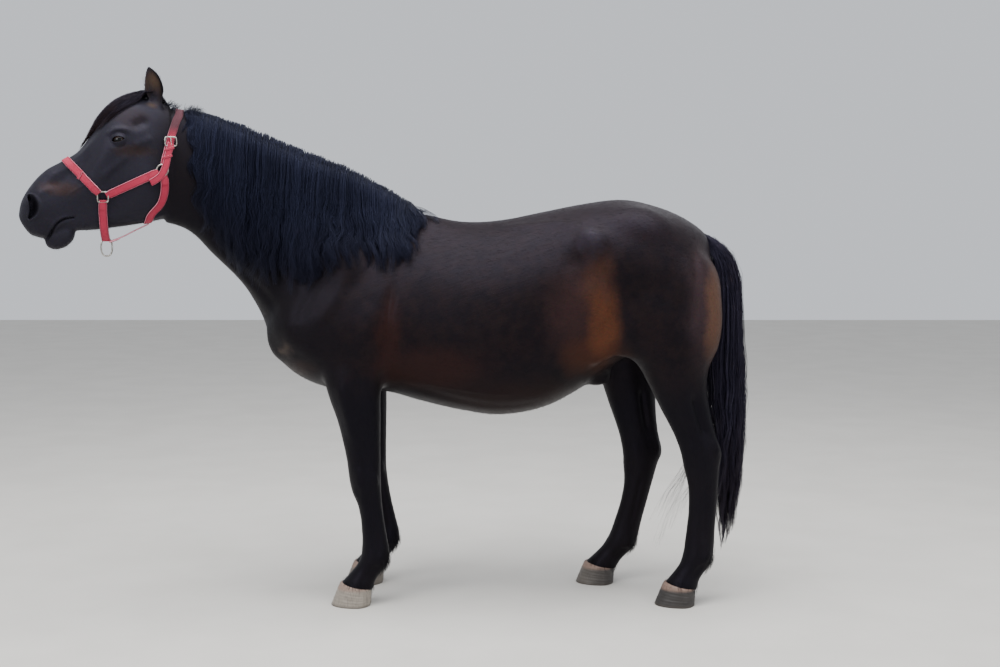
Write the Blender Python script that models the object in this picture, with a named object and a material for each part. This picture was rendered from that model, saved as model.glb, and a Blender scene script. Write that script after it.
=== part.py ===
"""A stocky, dark pony in a webbing headcollar, life size, standing still on a level floor.

X runs from the head (-X) to the tail (+X), Y to the pony's right and Z up, in metres.
Every form of the body is a loft: rings set along the trunk, neck, head and legs, joined by
smooth curves. The lofts are fused into one hide, which thin cuts then part into its nodes.
"""

import math

import bmesh
import bpy
import numpy as np
from mathutils import Matrix, Vector
from mathutils.bvhtree import BVHTree

# Driving dimensions, in metres
GAP = 0.0003  # left between two pieces that meet
HEAD_YAW = math.radians(15.6)  # the head is turned to the pony's left
POLL = Vector((-1.0235, -0.160, 1.577))  # top of the head, between the ears
EYE_RADIUS = 0.021
EYE_PLACE = (0.147, -0.117, 0.0855)  # ahead of, above and to the side of the poll
STRAP_WIDTH = 0.025
STRAP_THICKNESS = 0.0034
STRAP_LIFT = 0.0054  # from the hide to the middle of the webbing
RING_WIRE = 0.0026  # radius of the wire of a headcollar ring
FOLD_HALF_WIDTH = 0.0066  # of webbing where it is folded round a ring
FOLD_EXTRA = 0.0030  # added there to half its thickness
FOLD_LIFT = 0.0020  # how much further off the hide a ring lies
HIDE_GRAIN = 0.007  # cell of the mesh in which the forms are fused
HIDE_TRIANGLES = 2560
HEAD_FINENESS = 0.0002  # how much more the head's small facets are worth than the body's
SIDES = {"left": -1, "right": 1}

# The heights, from top to bottom of a ring, at which its half widths are given
LEVELS = (0.08, 0.29, 0.5, 0.71, 0.92)

# Trunk, breast to dock: (x, z) of the top, (x, z) of the underline, half widths at the five levels
TRUNK = {
    "front of breast": ((-0.748, 0.925), (-0.726, 0.812), (0.050, 0.082, 0.088, 0.075, 0.045)),
    "breast": ((-0.712, 1.040), (-0.690, 0.744), (0.075, 0.130, 0.150, 0.138, 0.078)),
    "point of shoulder": ((-0.630, 1.150), (-0.600, 0.690), (0.080, 0.158, 0.195, 0.185, 0.110)),
    "shoulder": ((-0.500, 1.230), (-0.485, 0.664), (0.062, 0.150, 0.202, 0.205, 0.122)),
    "withers": ((-0.370, 1.262), (-0.370, 0.664), (0.046, 0.145, 0.208, 0.212, 0.128)),
    "girth": ((-0.250, 1.246), (-0.250, 0.632), (0.068, 0.178, 0.226, 0.220, 0.130)),
    "ribs": ((-0.125, 1.219), (-0.120, 0.603), (0.105, 0.212, 0.252, 0.243, 0.148)),
    "barrel": ((0.000, 1.223), (0.000, 0.589), (0.124, 0.230, 0.266, 0.256, 0.158)),
    "last rib": ((0.130, 1.248), (0.130, 0.610), (0.138, 0.238, 0.266, 0.254, 0.152)),
    "loin": ((0.257, 1.273), (0.245, 0.664), (0.148, 0.234, 0.252, 0.232, 0.130)),
    "hip": ((0.385, 1.289), (0.370, 0.752), (0.152, 0.234, 0.242, 0.208, 0.108)),
    "croup": ((0.480, 1.273), (0.470, 0.810), (0.140, 0.214, 0.232, 0.198, 0.100)),
    "rump": ((0.565, 1.243), (0.570, 0.870), (0.112, 0.184, 0.202, 0.165, 0.080)),
    "seat": ((0.635, 1.203), (0.645, 0.950), (0.066, 0.118, 0.135, 0.108, 0.055)),
    "root of dock": ((0.672, 1.168), (0.680, 1.030), (0.034, 0.048, 0.052, 0.046, 0.028)),
}

# Neck, shoulder to poll: (x, z) of the crest, (x, z) of the throat side, y of the middle, half widths
NECK = {
    "root": ((-0.270, 1.230), (-0.560, 0.780), 0.000, (0.045, 0.120, 0.170, 0.175, 0.110)),
    "collar": ((-0.352, 1.296), (-0.728, 0.838), 0.000, (0.036, 0.096, 0.146, 0.164, 0.110)),
    "lower third": ((-0.460, 1.350), (-0.774, 0.921), -0.010, (0.030, 0.078, 0.118, 0.134, 0.088)),
    "middle": ((-0.570, 1.398), (-0.815, 0.996), -0.028, (0.027, 0.066, 0.097, 0.107, 0.072)),
    "upper third": ((-0.676, 1.440), (-0.856, 1.050), -0.055, (0.026, 0.062, 0.089, 0.096, 0.064)),
    "nape": ((-0.778, 1.484), (-0.907, 1.108), -0.090, (0.027, 0.062, 0.085, 0.090, 0.058)),
    "behind the jaw": ((-0.870, 1.526), (-0.957, 1.172), -0.122, (0.031, 0.064, 0.084, 0.084, 0.050)),
    "throat latch": ((-0.940, 1.552), (-1.000, 1.200), -0.145, (0.038, 0.068, 0.084, 0.080, 0.044)),
    "poll": ((-1.015, 1.562), (-1.040, 1.212), -0.160, (0.046, 0.074, 0.084, 0.078, 0.042)),
}

# Head, back to muzzle: (ahead, above) of the poll for the face line and the jaw line, half widths
HEAD = {
    "back of jaw": ((-0.006, -0.004), (0.004, -0.350), (0.048, 0.076, 0.088, 0.083, 0.046)),
    "ears": ((0.046, 0.014), (0.036, -0.358), (0.056, 0.086, 0.092, 0.091, 0.052)),
    "temple": ((0.100, 0.016), (0.075, -0.366), (0.062, 0.096, 0.092, 0.092, 0.054)),
    "brow": ((0.152, -0.005), (0.115, -0.373), (0.065, 0.102, 0.093, 0.086, 0.052)),
    "eye": ((0.197, -0.050), (0.156, -0.379), (0.064, 0.102, 0.096, 0.078, 0.046)),
    "cheek": ((0.234, -0.102), (0.200, -0.385), (0.052, 0.084, 0.086, 0.065, 0.040)),
    "bridge": ((0.272, -0.149), (0.243, -0.389), (0.038, 0.060, 0.068, 0.052, 0.035)),
    "nose": ((0.321, -0.179), (0.281, -0.390), (0.030, 0.047, 0.054, 0.046, 0.032)),
    "above the nostrils": ((0.366, -0.205), (0.308, -0.392), (0.030, 0.050, 0.056, 0.050, 0.033)),
    "nostrils": ((0.406, -0.246), (0.342, -0.398), (0.034, 0.058, 0.062, 0.052, 0.034)),
    "muzzle": ((0.437, -0.296), (0.374, -0.412), (0.031, 0.052, 0.056, 0.048, 0.032)),
    "tip of lip": ((0.447, -0.340), (0.404, -0.406), (0.018, 0.032, 0.036, 0.032, 0.020)),
}

# A leg's stations: how far down its chain of joints, reach ahead of and behind the chain,
# half width, and how many degrees the ring tips backward
FRONT_LEG = {
    "inside the shoulder": (0.00, 0.084, 0.078, 0.056, 0),
    "arm": (0.13, 0.102, 0.088, 0.066, 0),
    "elbow": (0.26, 0.105, 0.086, 0.073, 0),
    "top of forearm": (0.40, 0.093, 0.075, 0.071, 0),
    "forearm": (0.55, 0.075, 0.069, 0.062, 0),
    "lower forearm": (0.71, 0.063, 0.062, 0.051, 0),
    "above the knee": (0.86, 0.055, 0.056, 0.046, 0),
    "knee": (1.00, 0.052, 0.051, 0.049, 0),
    "below the knee": (1.17, 0.047, 0.047, 0.044, 0),
    "top of cannon": (1.32, 0.036, 0.045, 0.036, 0),
    "cannon": (1.52, 0.032, 0.045, 0.033, 0),
    "lower cannon": (1.74, 0.035, 0.047, 0.034, 0),
    "above the fetlock": (1.90, 0.041, 0.049, 0.040, 4),
    "fetlock": (2.06, 0.045, 0.047, 0.044, 18),
    "pastern": (2.52, 0.039, 0.040, 0.038, 32),
    "coronet": (3.00, 0.053, 0.050, 0.049, 12),
    "below the coronet": (3.25, 0.056, 0.050, 0.052, 8),
}
HIND_LEG = {
    "hip": (0.00, 0.165, 0.160, 0.092, 0),
    "thigh": (0.45, 0.182, 0.178, 0.112, 0),
    "stifle": (0.95, 0.160, 0.162, 0.110, 0),
    "top of gaskin": (1.15, 0.117, 0.118, 0.094, 0),
    "gaskin": (1.35, 0.102, 0.089, 0.076, 0),
    "lower gaskin": (1.60, 0.085, 0.074, 0.058, 0),
    "above the hock": (1.82, 0.070, 0.068, 0.047, 0),
    "hock": (2.00, 0.066, 0.070, 0.046, 0),
    "below the hock": (2.14, 0.055, 0.064, 0.044, 0),
    "top of cannon": (2.33, 0.039, 0.060, 0.037, 0),
    "cannon": (2.55, 0.036, 0.056, 0.034, 0),
    "lower cannon": (2.76, 0.042, 0.052, 0.036, 0),
    "above the fetlock": (2.91, 0.047, 0.050, 0.041, 4),
    "fetlock": (3.05, 0.050, 0.047, 0.044, 16),
    "pastern": (3.52, 0.041, 0.041, 0.038, 30),
    "coronet": (4.00, 0.052, 0.051, 0.048, 12),
    "below the coronet": (4.25, 0.055, 0.051, 0.051, 8),
}

# Each leg's chain of joints as (x, y, z), elbow or hip down to the coronet
FRONT_CHAINS = {
    "left": (
        (-0.463, -0.128, 0.830),
        (-0.4275, -0.130, 0.400),
        (-0.397, -0.136, 0.150),
        (-0.452, -0.142, 0.062),
    ),
    "right": (
        (-0.463, 0.128, 0.830),
        (-0.430, 0.130, 0.397),
        (-0.383, 0.136, 0.154),
        (-0.436, 0.142, 0.062),
    ),
}
HIND_CHAINS = {
    "left": (
        (0.522, -0.128, 1.030),
        (0.531, -0.132, 0.812),
        (0.636, -0.122, 0.487),
        (0.632, -0.132, 0.152),
        (0.578, -0.140, 0.062),
    ),
    "right": (
        (0.500, 0.128, 1.030),
        (0.412, 0.132, 0.822),
        (0.474, 0.124, 0.449),
        (0.412, 0.134, 0.142),
        (0.342, 0.140, 0.060),
    ),
}

# Muscles and bony points that stand out of the lofts: middle, three radii, turn about Y in degrees.
# Those off the midline are made on both sides.
FORMS = {
    "shoulder blade": ((-0.470, 0.110, 1.000), (0.120, 0.074, 0.180), -30),
    "upper arm": ((-0.575, 0.122, 0.850), (0.120, 0.078, 0.085), 32),
    "triceps": ((-0.425, 0.140, 0.850), (0.110, 0.075, 0.120), 0),
    "breast muscle": ((-0.680, 0.062, 0.860), (0.070, 0.066, 0.100), 0),
    "point of hip": ((0.300, 0.176, 1.140), (0.080, 0.060, 0.065), 20),
    "croup muscle": ((0.430, 0.098, 1.150), (0.160, 0.120, 0.118), 14),
    "quarter": ((0.545, 0.114, 0.985), (0.155, 0.122, 0.170), 0),
    "front of thigh": ((0.430, 0.155, 0.930), (0.110, 0.086, 0.150), 24),
    "flank fold": ((0.335, 0.155, 0.860), (0.060, 0.060, 0.110), 34),
    "back of thigh": ((0.622, 0.098, 0.950), (0.080, 0.078, 0.165), 6),
}
SHEATH = ((0.300, 0.0, 0.730), (0.068, 0.040, 0.048), 18)

# Lower lip and nostril hollow, in head coordinates: middle, three radii, turn about Y in degrees
LOWER_LIP = ((0.328, -0.408), (0.050, 0.036, 0.035), -30)
NOSTRIL = ((0.407, -0.318, 0.050), (0.014, 0.016, 0.028), 10)
# The slit of the mouth as (ahead, above), corner to front, and its height
MOUTH = (
    (0.297, -0.353),
    (0.316, -0.357),
    (0.336, -0.373),
    (0.351, -0.392),
    (0.360, -0.411),
    (0.372, -0.432),
    (0.400, -0.480),
)
MOUTH_SLIT = 0.003

# Ear, base to tip: (ahead, above, out) of the poll, half width, depth of the cup
EAR = {
    "root": ((0.031, -0.034, 0.044), 0.0185, 0.019),
    "base": ((0.040, 0.008, 0.050), 0.0235, 0.020),
    "cup": ((0.043, 0.046, 0.055), 0.0290, 0.020),
    "upper": ((0.049, 0.084, 0.058), 0.0195, 0.012),
    "tip": ((0.059, 0.109, 0.057), 0.0016, 0.0022),
}

# Where thin cuts part the hide: a point of the plane and its direction towards the head
POLL_CUT = (Vector((-1.000, -0.152, 1.380)), Vector((-0.945, -0.255, -0.060)))
NECK_CUT = (Vector((-0.530, 0.0, 1.070)), Vector((-0.682, 0.0, 0.731)))
# Side outlines, as (x, z), of the blocks that take a leg from the trunk, and the y they start at
FRONT_BLOCK = (
    (-0.620, -0.1),
    (-0.620, 0.620),
    (-0.560, 0.710),
    (-0.460, 0.750),
    (-0.370, 0.680),
    (-0.290, 0.500),
    (-0.290, -0.1),
)
FRONT_BLOCK_INNER = 0.050
HIND_BLOCKS = {
    "left": (
        (0.300, -0.1),
        (0.300, 0.660),
        (0.345, 0.800),
        (0.420, 0.950),
        (0.540, 1.040),
        (0.640, 1.070),
        (0.790, 1.080),
        (0.790, -0.1),
    ),
    "right": (
        (0.160, -0.1),
        (0.160, 0.560),
        (0.245, 0.735),
        (0.335, 0.860),
        (0.440, 0.970),
        (0.560, 1.050),
        (0.790, 1.080),
        (0.790, -0.1),
    ),
}
HIND_BLOCK_INNER = 0.018

# Hoof: toe and heel reach of the sole from the coronet's middle, sole half width
HOOF = {"toe": 0.086, "heel": 0.046, "half width": 0.060, "coronet rise": 0.012}

# Tail: (x, z) of its front edge and rear edge, half width, from the dock to the tip
TAIL = {
    "dock": ((0.650, 1.150), (0.684, 1.180), 0.026),
    "root": ((0.676, 1.118), (0.740, 1.140), 0.034),
    "bend": ((0.700, 1.060), (0.770, 1.080), 0.042),
    "upper": ((0.712, 0.970), (0.779, 0.970), 0.050),
    "below the seat": ((0.708, 0.860), (0.786, 0.850), 0.056),
    "full": ((0.690, 0.740), (0.797, 0.730), 0.060),
    "hock": ((0.706, 0.560), (0.799, 0.560), 0.062),
    "lower": ((0.714, 0.400), (0.791, 0.400), 0.052),
    "thin": ((0.716, 0.270), (0.774, 0.270), 0.036),
    "tip": ((0.716, 0.160), (0.750, 0.160), 0.018),
    "end": ((0.714, 0.118), (0.728, 0.118), 0.006),
}

# Mane: the height of its lower edge on the left of the neck, from its front edge to the withers
MANE_EDGE = {
    -0.972: 1.500,
    -0.945: 1.440,
    -0.928: 1.330,
    -0.905: 1.200,
    -0.855: 1.090,
    -0.780: 1.035,
    -0.690: 1.024,
    -0.585: 1.010,
    -0.530: 1.045,
    -0.470: 1.090,
    -0.400: 1.078,
    -0.335: 1.085,
    -0.300: 1.160,
    -0.268: 1.210,
}
LOCK_PITCH = 0.075
MANE_DEPTH = 0.024
CREST_DEPTH = 0.018  # of the hair that stands over the crest
WITHERS_DEPTH = 0.011  # added to it towards the withers

# Forelock, from behind the ears down the forehead: place on the face line, half width, depth
FORELOCK = {
    "poll": ((-0.012, -0.001), 0.020, 0.016),
    "before the poll": ((0.014, 0.006), 0.022, 0.026),
    "between the ears": ((0.050, 0.016), 0.024, 0.024),
    "top of forehead": ((0.100, 0.016), 0.040, 0.018),
    "forehead": ((0.152, -0.005), 0.052, 0.013),
    "over the eyes": ((0.197, -0.050), 0.050, 0.012),
    "lower": ((0.230, -0.096), 0.034, 0.009),
    "tip": ((0.252, -0.124), 0.010, 0.004),
}

# Headcollar, in head coordinates (ahead, above): the place of each ring
NOSE_RING = (0.200, -0.286)
SIDE_RING = (0.025, -0.206)
CHIN_RING = (0.192, -0.440)
BUCKLE = (-0.005, -0.120)


def clear_scene():
    for obj in list(bpy.data.objects):
        bpy.data.objects.remove(obj, do_unlink=True)


def surface(name, colour, roughness, metallic=0.0):
    material = bpy.data.materials.new(name)
    material.use_nodes = True
    shader = material.node_tree.nodes["Principled BSDF"]
    shader.inputs["Base Color"].default_value = (*colour, 1.0)
    shader.inputs["Roughness"].default_value = roughness
    shader.inputs["Metallic"].default_value = metallic
    return material


def add_object(name, points, faces):
    """Object of this name with the mesh of these points and faces, its faces turned outward."""
    mesh = bpy.data.meshes.new(name)
    mesh.from_pydata([tuple(point) for point in points], [], faces)
    shell = bmesh.new()
    shell.from_mesh(mesh)
    bmesh.ops.remove_doubles(shell, verts=shell.verts, dist=0.00001)
    bmesh.ops.recalc_face_normals(shell, faces=shell.faces)
    shell.to_mesh(mesh)
    shell.free()
    obj = bpy.data.objects.new(name, mesh)
    bpy.context.scene.collection.objects.link(obj)
    return obj


def bake(obj, *modifiers):
    """Put modifiers on the object as (type, settings), and keep the mesh that they give."""
    for kind, settings in modifiers:
        modifier = obj.modifiers.new(kind.title(), kind)
        for key, value in settings.items():
            setattr(modifier, key, value)
    bpy.context.view_layer.update()
    graph = bpy.context.evaluated_depsgraph_get()
    mesh = bpy.data.meshes.new_from_object(obj.evaluated_get(graph))
    obj.modifiers.clear()
    old = obj.data
    obj.data = mesh
    bpy.data.meshes.remove(old)
    mesh.name = obj.name
    return obj


def copy_of(obj, name):
    twin = obj.copy()
    twin.data = obj.data.copy()
    twin.name = name
    bpy.context.scene.collection.objects.link(twin)
    return twin


def drop(*objects):
    for obj in objects:
        bpy.data.objects.remove(obj, do_unlink=True)


def cut(obj, *cutters, keep=False):
    """Take the cutters away from the object, or keep only what is inside the first of them."""
    for cutter in cutters:
        settings = {"object": cutter, "operation": "INTERSECT" if keep else "DIFFERENCE", "solver": "EXACT"}
        bake(obj, ("BOOLEAN", settings))
        keep = False
    return obj


def grown(obj, amount=GAP):
    """A copy of the object with its skin moved out, to cut its neighbours with."""
    return bake(copy_of(obj, "grown"), ("DISPLACE", {"strength": amount, "mid_level": 0.0}))


def curve_through(points, steps, closed=False):
    """Smooth curve through an array of points (Catmull-Rom), with this many steps in each span."""
    count = len(points)
    spans = count if closed else count - 1
    place = np.arange(spans * steps + (0 if closed else 1)) / steps
    index = np.minimum(place.astype(int), spans - 1)
    t = (place - index).reshape((-1,) + (1,) * (points.ndim - 1))

    def at(offset):
        wanted = index + offset
        if closed:
            return points[wanted % count]
        inside = points[np.clip(wanted, 0, count - 1)]
        before = (wanted < 0).reshape(t.shape)
        after = (wanted >= count).reshape(t.shape)
        inside = np.where(before, 2 * points[0] - points[1], inside)
        return np.where(after, 2 * points[-1] - points[-2], inside)

    p0, p1, p2, p3 = at(-1), at(0), at(1), at(2)
    return 0.5 * (
        2 * p1
        + (p2 - p0) * t
        + (2 * p0 - 5 * p1 + 4 * p2 - p3) * t**2
        + (3 * p1 - p0 - 3 * p2 + p3) * t**3
    )


def ring(top, bottom, side, widths):
    """Outline through a top and a bottom point, as wide as given at each level between them."""
    top, bottom, side = np.array(top), np.array(bottom), np.array(side)
    spine = [top + (bottom - top) * level for level in LEVELS]
    near = [point + side * width for point, width in zip(spine, widths)]
    far = [point - side * width for point, width in zip(spine, widths)]
    return np.array([top, *near, bottom, *far[::-1]])


def grid_faces(rows, columns, wrap=True):
    """Quads between the rows of a grid, and round each row where it wraps."""
    faces = []
    for row in range(rows - 1):
        here, below = row * columns, (row + 1) * columns
        for column in range(columns if wrap else columns - 1):
            beside = (column + 1) % columns
            faces.append((here + column, here + beside, below + beside, below + column))
    return faces


def closed_loft(name, grid):
    """Closed solid over a grid of rings, with flat ends."""
    rows, columns = grid.shape[:2]
    ends = [tuple(range(columns)), tuple((rows - 1) * columns + c for c in range(columns))]
    return add_object(name, grid.reshape(-1, 3), grid_faces(rows, columns) + ends)


def loft(name, rings, around=3, along=5):
    grid = curve_through(np.array(rings), along)
    grid = np.swapaxes(curve_through(np.swapaxes(grid, 0, 1), around, closed=True), 0, 1)
    return closed_loft(name, grid)


def ellipsoid(name, middle, radii, turn=0.0, segments=24, rings=16):
    ball = bmesh.new()
    turned = Matrix.Rotation(math.radians(turn), 4, "Y")
    placed = Matrix.Translation(middle) @ turned @ Matrix.Diagonal((*radii, 1.0))
    bmesh.ops.create_uvsphere(ball, u_segments=segments, v_segments=rings, radius=1.0, matrix=placed)
    mesh = bpy.data.meshes.new(name)
    ball.to_mesh(mesh)
    ball.free()
    obj = bpy.data.objects.new(name, mesh)
    bpy.context.scene.collection.objects.link(obj)
    return obj


def head_point(ahead, above, side=0.0):
    """Point of the head: `side` is positive to the pony's left."""
    forward = Vector((-math.cos(HEAD_YAW), -math.sin(HEAD_YAW), 0.0))
    return POLL + forward * ahead + Vector((0, 0, above)) + head_left() * side


def head_left():
    return Vector((math.sin(HEAD_YAW), -math.cos(HEAD_YAW), 0.0))


def trunk_loft():
    rings = []
    for top, low, widths in TRUNK.values():
        rings.append(ring((top[0], 0, top[1]), (low[0], 0, low[1]), (0, -1, 0), widths))
    return loft("trunk form", rings)


def neck_rings():
    """Rings of the neck, whose side direction turns with the neck's own bend."""
    names = list(NECK)
    rings = []
    for index, name in enumerate(names):
        crest, throat, middle, widths = NECK[name]
        share = index / (len(names) - 1)
        yaw = HEAD_YAW * share
        side = (math.sin(yaw), -math.cos(yaw), 0)
        rings.append(ring((crest[0], middle, crest[1]), (throat[0], middle, throat[1]), side, widths))
    return rings


def head_loft():
    rings = []
    for face, jaw, widths in HEAD.values():
        rings.append(ring(head_point(*face), head_point(*jaw), head_left(), widths))
    return loft("head form", rings)


def along_chain(chain, place):
    """Point a given number of joints down a leg's chain, running on past its last joint."""
    index = min(int(place), len(chain) - 2)
    return Vector(chain[index]).lerp(Vector(chain[index + 1]), place - index)


def leg_loft(name, chain, stations):
    rings = []
    for place, ahead, behind, width, tip in stations.values():
        middle = along_chain(chain, place)
        back = Vector((math.cos(math.radians(tip)), 0, -math.sin(math.radians(tip))))
        # fullest just ahead of the middle, as bone and muscle are, and flatter at the back
        widths = [width * share for share in (0.50, 0.90, 1.0, 0.86, 0.50)]
        rings.append(ring(middle - back * ahead, middle + back * behind, (0, -1, 0), widths))
    return loft(name, rings, along=4)


def fuse(forms):
    """One smooth closed hide over all the forms."""
    bpy.ops.object.select_all(action="DESELECT")
    for form in forms:
        form.select_set(True)
    bpy.context.view_layer.objects.active = forms[0]
    bpy.ops.object.join()
    hide = forms[0]
    hide.name = "hide"
    bake(hide, ("REMESH", {"mode": "VOXEL", "voxel_size": HIDE_GRAIN}))
    bake(hide, ("SMOOTH", {"factor": 0.5, "iterations": 6}))
    broad = hide.vertex_groups.new(name="broad")
    for vertex in hide.data.vertices:
        x, _, z = vertex.co
        weight = min(smooth_step(z, 0.60, 0.80), smooth_step(x, -0.98, -0.86))
        broad.add([vertex.index], weight, "REPLACE")
    bake(hide, ("SMOOTH", {"factor": 0.5, "iterations": 70, "vertex_group": "broad"}))
    return hide


def thin_out(hide):
    """Fewer, larger facets, and the smallest of them kept for the head."""
    fine = hide.vertex_groups.new(name="fine")
    for vertex in hide.data.vertices:
        x = vertex.co.x
        fine.add([vertex.index], 0.9 - 0.9 * smooth_step(x, -1.05, -0.95), "REPLACE")
    settings = {
        "ratio": HIDE_TRIANGLES / (2 * len(hide.data.polygons)),
        "vertex_group": "fine",
        "invert_vertex_group": True,
        "vertex_group_factor": HEAD_FINENESS,
        "use_collapse_triangulate": True,
    }
    bake(hide, ("DECIMATE", settings))


def smooth_step(value, low, high):
    share = min(max((value - low) / (high - low), 0.0), 1.0)
    return share * share * (3 - 2 * share)


def make_hide():
    forms = [trunk_loft(), loft("neck form", neck_rings()), head_loft()]
    for side, chain in FRONT_CHAINS.items():
        forms.append(leg_loft("front leg form " + side, chain, FRONT_LEG))
    for side, chain in HIND_CHAINS.items():
        forms.append(leg_loft("hind leg form " + side, chain, HIND_LEG))
    for name, (middle, radii, turn) in FORMS.items():
        for hand in SIDES.values():
            forms.append(ellipsoid(name, (middle[0], middle[1] * hand, middle[2]), radii, turn))
    forms.append(ellipsoid("sheath", *SHEATH))
    middle, radii, turn = LOWER_LIP
    forms.append(ellipsoid("lower lip", head_point(*middle), radii, turn))
    return fuse(forms)


def half_space(point, direction):
    """Big block whose face lies on the plane and which reaches away along the direction."""
    block = bmesh.new()
    direction = direction.normalized()
    turned = direction.to_track_quat("Z", "Y").to_matrix().to_4x4()
    placed = Matrix.Translation(point + direction * (1.5 - GAP / 2)) @ turned
    bmesh.ops.create_cube(block, size=3.0, matrix=placed)
    mesh = bpy.data.meshes.new("half space")
    block.to_mesh(mesh)
    block.free()
    obj = bpy.data.objects.new("half space", mesh)
    bpy.context.scene.collection.objects.link(obj)
    return obj


def leg_block(outline, inner, hand, grow=0.0):
    """Block over a convex side outline, from `inner` outward on one side of the pony."""
    count = len(outline)
    corners = []
    for index in range(count):
        here = Vector(outline[index])
        before = (here - Vector(outline[index - 1])).normalized()
        after = (Vector(outline[(index + 1) % count]) - here).normalized()
        out_before, out_after = Vector((-before.y, before.x)), Vector((-after.y, after.x))
        out = (out_before + out_after).normalized()
        corners.append(here + out * grow / out.dot(out_after))
    points = [(c.x, hand * (inner - grow), c.y) for c in corners] + [(c.x, hand * 0.6, c.y) for c in corners]
    faces = [(i, (i + 1) % count, count + (i + 1) % count, count + i) for i in range(count)]
    return add_object("leg block", points, faces + [tuple(range(count)), tuple(range(count, 2 * count))])


def coronet_plane(chain, sign):
    """Plane through the coronet, sloping down to the heel; sign 1 faces down, -1 faces up."""
    slope = math.radians(12)
    return Vector(chain[-1]), Vector((-math.sin(slope), 0, -math.cos(slope))) * sign


def mouth_slit():
    """Thin curved plate that opens the mouth between the lips."""
    above, below = [], []
    for index, place in enumerate(MOUTH):
        here = Vector(place)
        run = Vector(MOUTH[min(index + 1, len(MOUTH) - 1)]) - Vector(MOUTH[max(index - 1, 0)])
        out = Vector((-run.y, run.x)).normalized() * MOUTH_SLIT / 2
        above.append(here + out)
        below.append(here - out)
    outline = above + below[::-1]
    count = len(outline)
    points = [head_point(*place, side) for side in (-0.1, 0.1) for place in outline]
    faces = [(i, (i + 1) % count, count + (i + 1) % count, count + i) for i in range(count)]
    return add_object("mouth slit", points, faces + [tuple(range(count)), tuple(range(count, 2 * count))])


def part_hide(hide):
    """Cut the hide into trunk, neck, head and legs."""
    nodes = {}
    point, towards_head = POLL_CUT
    nodes["head"] = cut(copy_of(hide, "head"), half_space(point, -towards_head))
    nodes["neck"] = cut(copy_of(hide, "neck"), half_space(point, towards_head))
    point, towards_head = NECK_CUT
    cut(nodes["neck"], half_space(point, -towards_head))
    nodes["trunk"] = cut(copy_of(hide, "trunk"), half_space(point, towards_head))
    for side, hand in SIDES.items():
        for kind, chains in (("front", FRONT_CHAINS), ("hind", HIND_CHAINS)):
            outline = FRONT_BLOCK if kind == "front" else HIND_BLOCKS[side]
            inner = FRONT_BLOCK_INNER if kind == "front" else HIND_BLOCK_INNER
            name = f"{kind}_leg_{side}"
            leg = cut(copy_of(hide, name), leg_block(outline, inner, hand), keep=True)
            cut(leg, half_space(*coronet_plane(chains[side], 1)))
            cut(nodes["trunk"], leg_block(outline, inner, hand, GAP))
            nodes[name] = leg
    return nodes


def hoof(name, chain):
    """Hoof wall: round at the toe, upright at the heels, flat on the ground."""
    middle = Vector(chain[-1])
    slope = math.radians(12)
    rows = []
    steps = 16
    for share in (0.0, 0.5, 1.0):
        row = []
        for index in range(steps):
            turn = 2 * math.pi * index / steps
            ahead, side = math.cos(turn), math.sin(turn)
            # the heels are blunter than the toe
            blunt = 1.0 if ahead > 0 else 0.92
            top_reach = 0.056 if ahead > 0 else 0.050
            sole_reach = HOOF["toe"] if ahead > 0 else HOOF["heel"]
            reach = top_reach + (sole_reach - top_reach) * share
            half = 0.0525 + (HOOF["half width"] - 0.0525) * share
            x = -reach * ahead * blunt
            y = half * side * (1.0 if ahead > 0 else 1.0 - 0.10 * ahead**2)
            top_z = middle.z - math.tan(slope) * (x) - GAP
            z = top_z * (1 - share)
            row.append((middle.x + x, middle.y + y, max(z, 0.0)))
        rows.append(row)
    return closed_loft(name, np.array(rows))


def ear(name, hand):
    """A pricked, cupped ear, open to the side: crescent rings from a full base to the tip."""
    base = head_point(0, 0)
    face = (head_point(0.36, 0.10, hand * 0.93) - base).normalized()
    across = face.cross(Vector((0, 0, 1))).normalized()
    line = curve_through(np.array([place for place, _, _ in EAR.values()]), 2)
    widths = curve_through(np.array([width for _, width, _ in EAR.values()]), 2)
    depths = curve_through(np.array([depth for _, _, depth in EAR.values()]), 2)
    steps = 6
    rows = []
    for row, (ahead, above, side) in enumerate(line):
        share = row / (len(line) - 1)
        width, depth = widths[row], depths[row]
        hollow = min(1.0, share / 0.35)
        thick = 0.0065 * (1 - 0.5 * share)
        centre = head_point(ahead, above, hand * side)
        outer, inner = [], []
        for index in range(steps):
            turn = math.pi * index / (steps - 1)
            cos, sin = math.cos(turn), math.sin(turn)
            outer.append(centre + across * width * cos - face * depth * sin)
            full = across * width * cos * 0.9 + face * depth * 0.45 * sin
            cupped = across * (width - thick * 0.5) * cos * 0.97 - face * max(depth - thick, 0.0006) * sin
            inner.append(centre + full.lerp(cupped, hollow))
        rows.append([*outer, *inner[::-1][1:-1]])
    return closed_loft(name, np.array([[tuple(point) for point in row] for row in rows]))


def tail():
    rings = []
    for front, back, width in TAIL.values():
        widths = [width * share for share in (0.55, 0.92, 1.0, 0.92, 0.55)]
        rings.append(ring((front[0], 0, front[1]), (back[0], 0, back[1]), (0, -1, 0), widths))
    return loft("tail", rings, around=1, along=2)


def sheet_solid(name, inner, outer):
    """Closed solid between an inner and an outer grid of points."""
    rows, columns = inner.shape[:2]
    count = rows * columns
    faces = grid_faces(rows, columns, wrap=False)
    far = [tuple(count + index for index in face[::-1]) for face in faces]
    rim = [r * columns for r in range(rows)]
    rim += [(rows - 1) * columns + c for c in range(1, columns)]
    rim += [r * columns + columns - 1 for r in range(rows - 2, -1, -1)]
    rim += list(range(columns - 2, 0, -1))
    sides = [(a, b, count + b, count + a) for a, b in zip(rim, rim[1:] + rim[:1])]
    points = np.concatenate([inner.reshape(-1, 3), outer.reshape(-1, 3)])
    return add_object(name, points, faces + far + sides)


def cast(tree, origin, direction):
    place, normal, _, _ = tree.ray_cast(origin, direction)
    return place, normal


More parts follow.
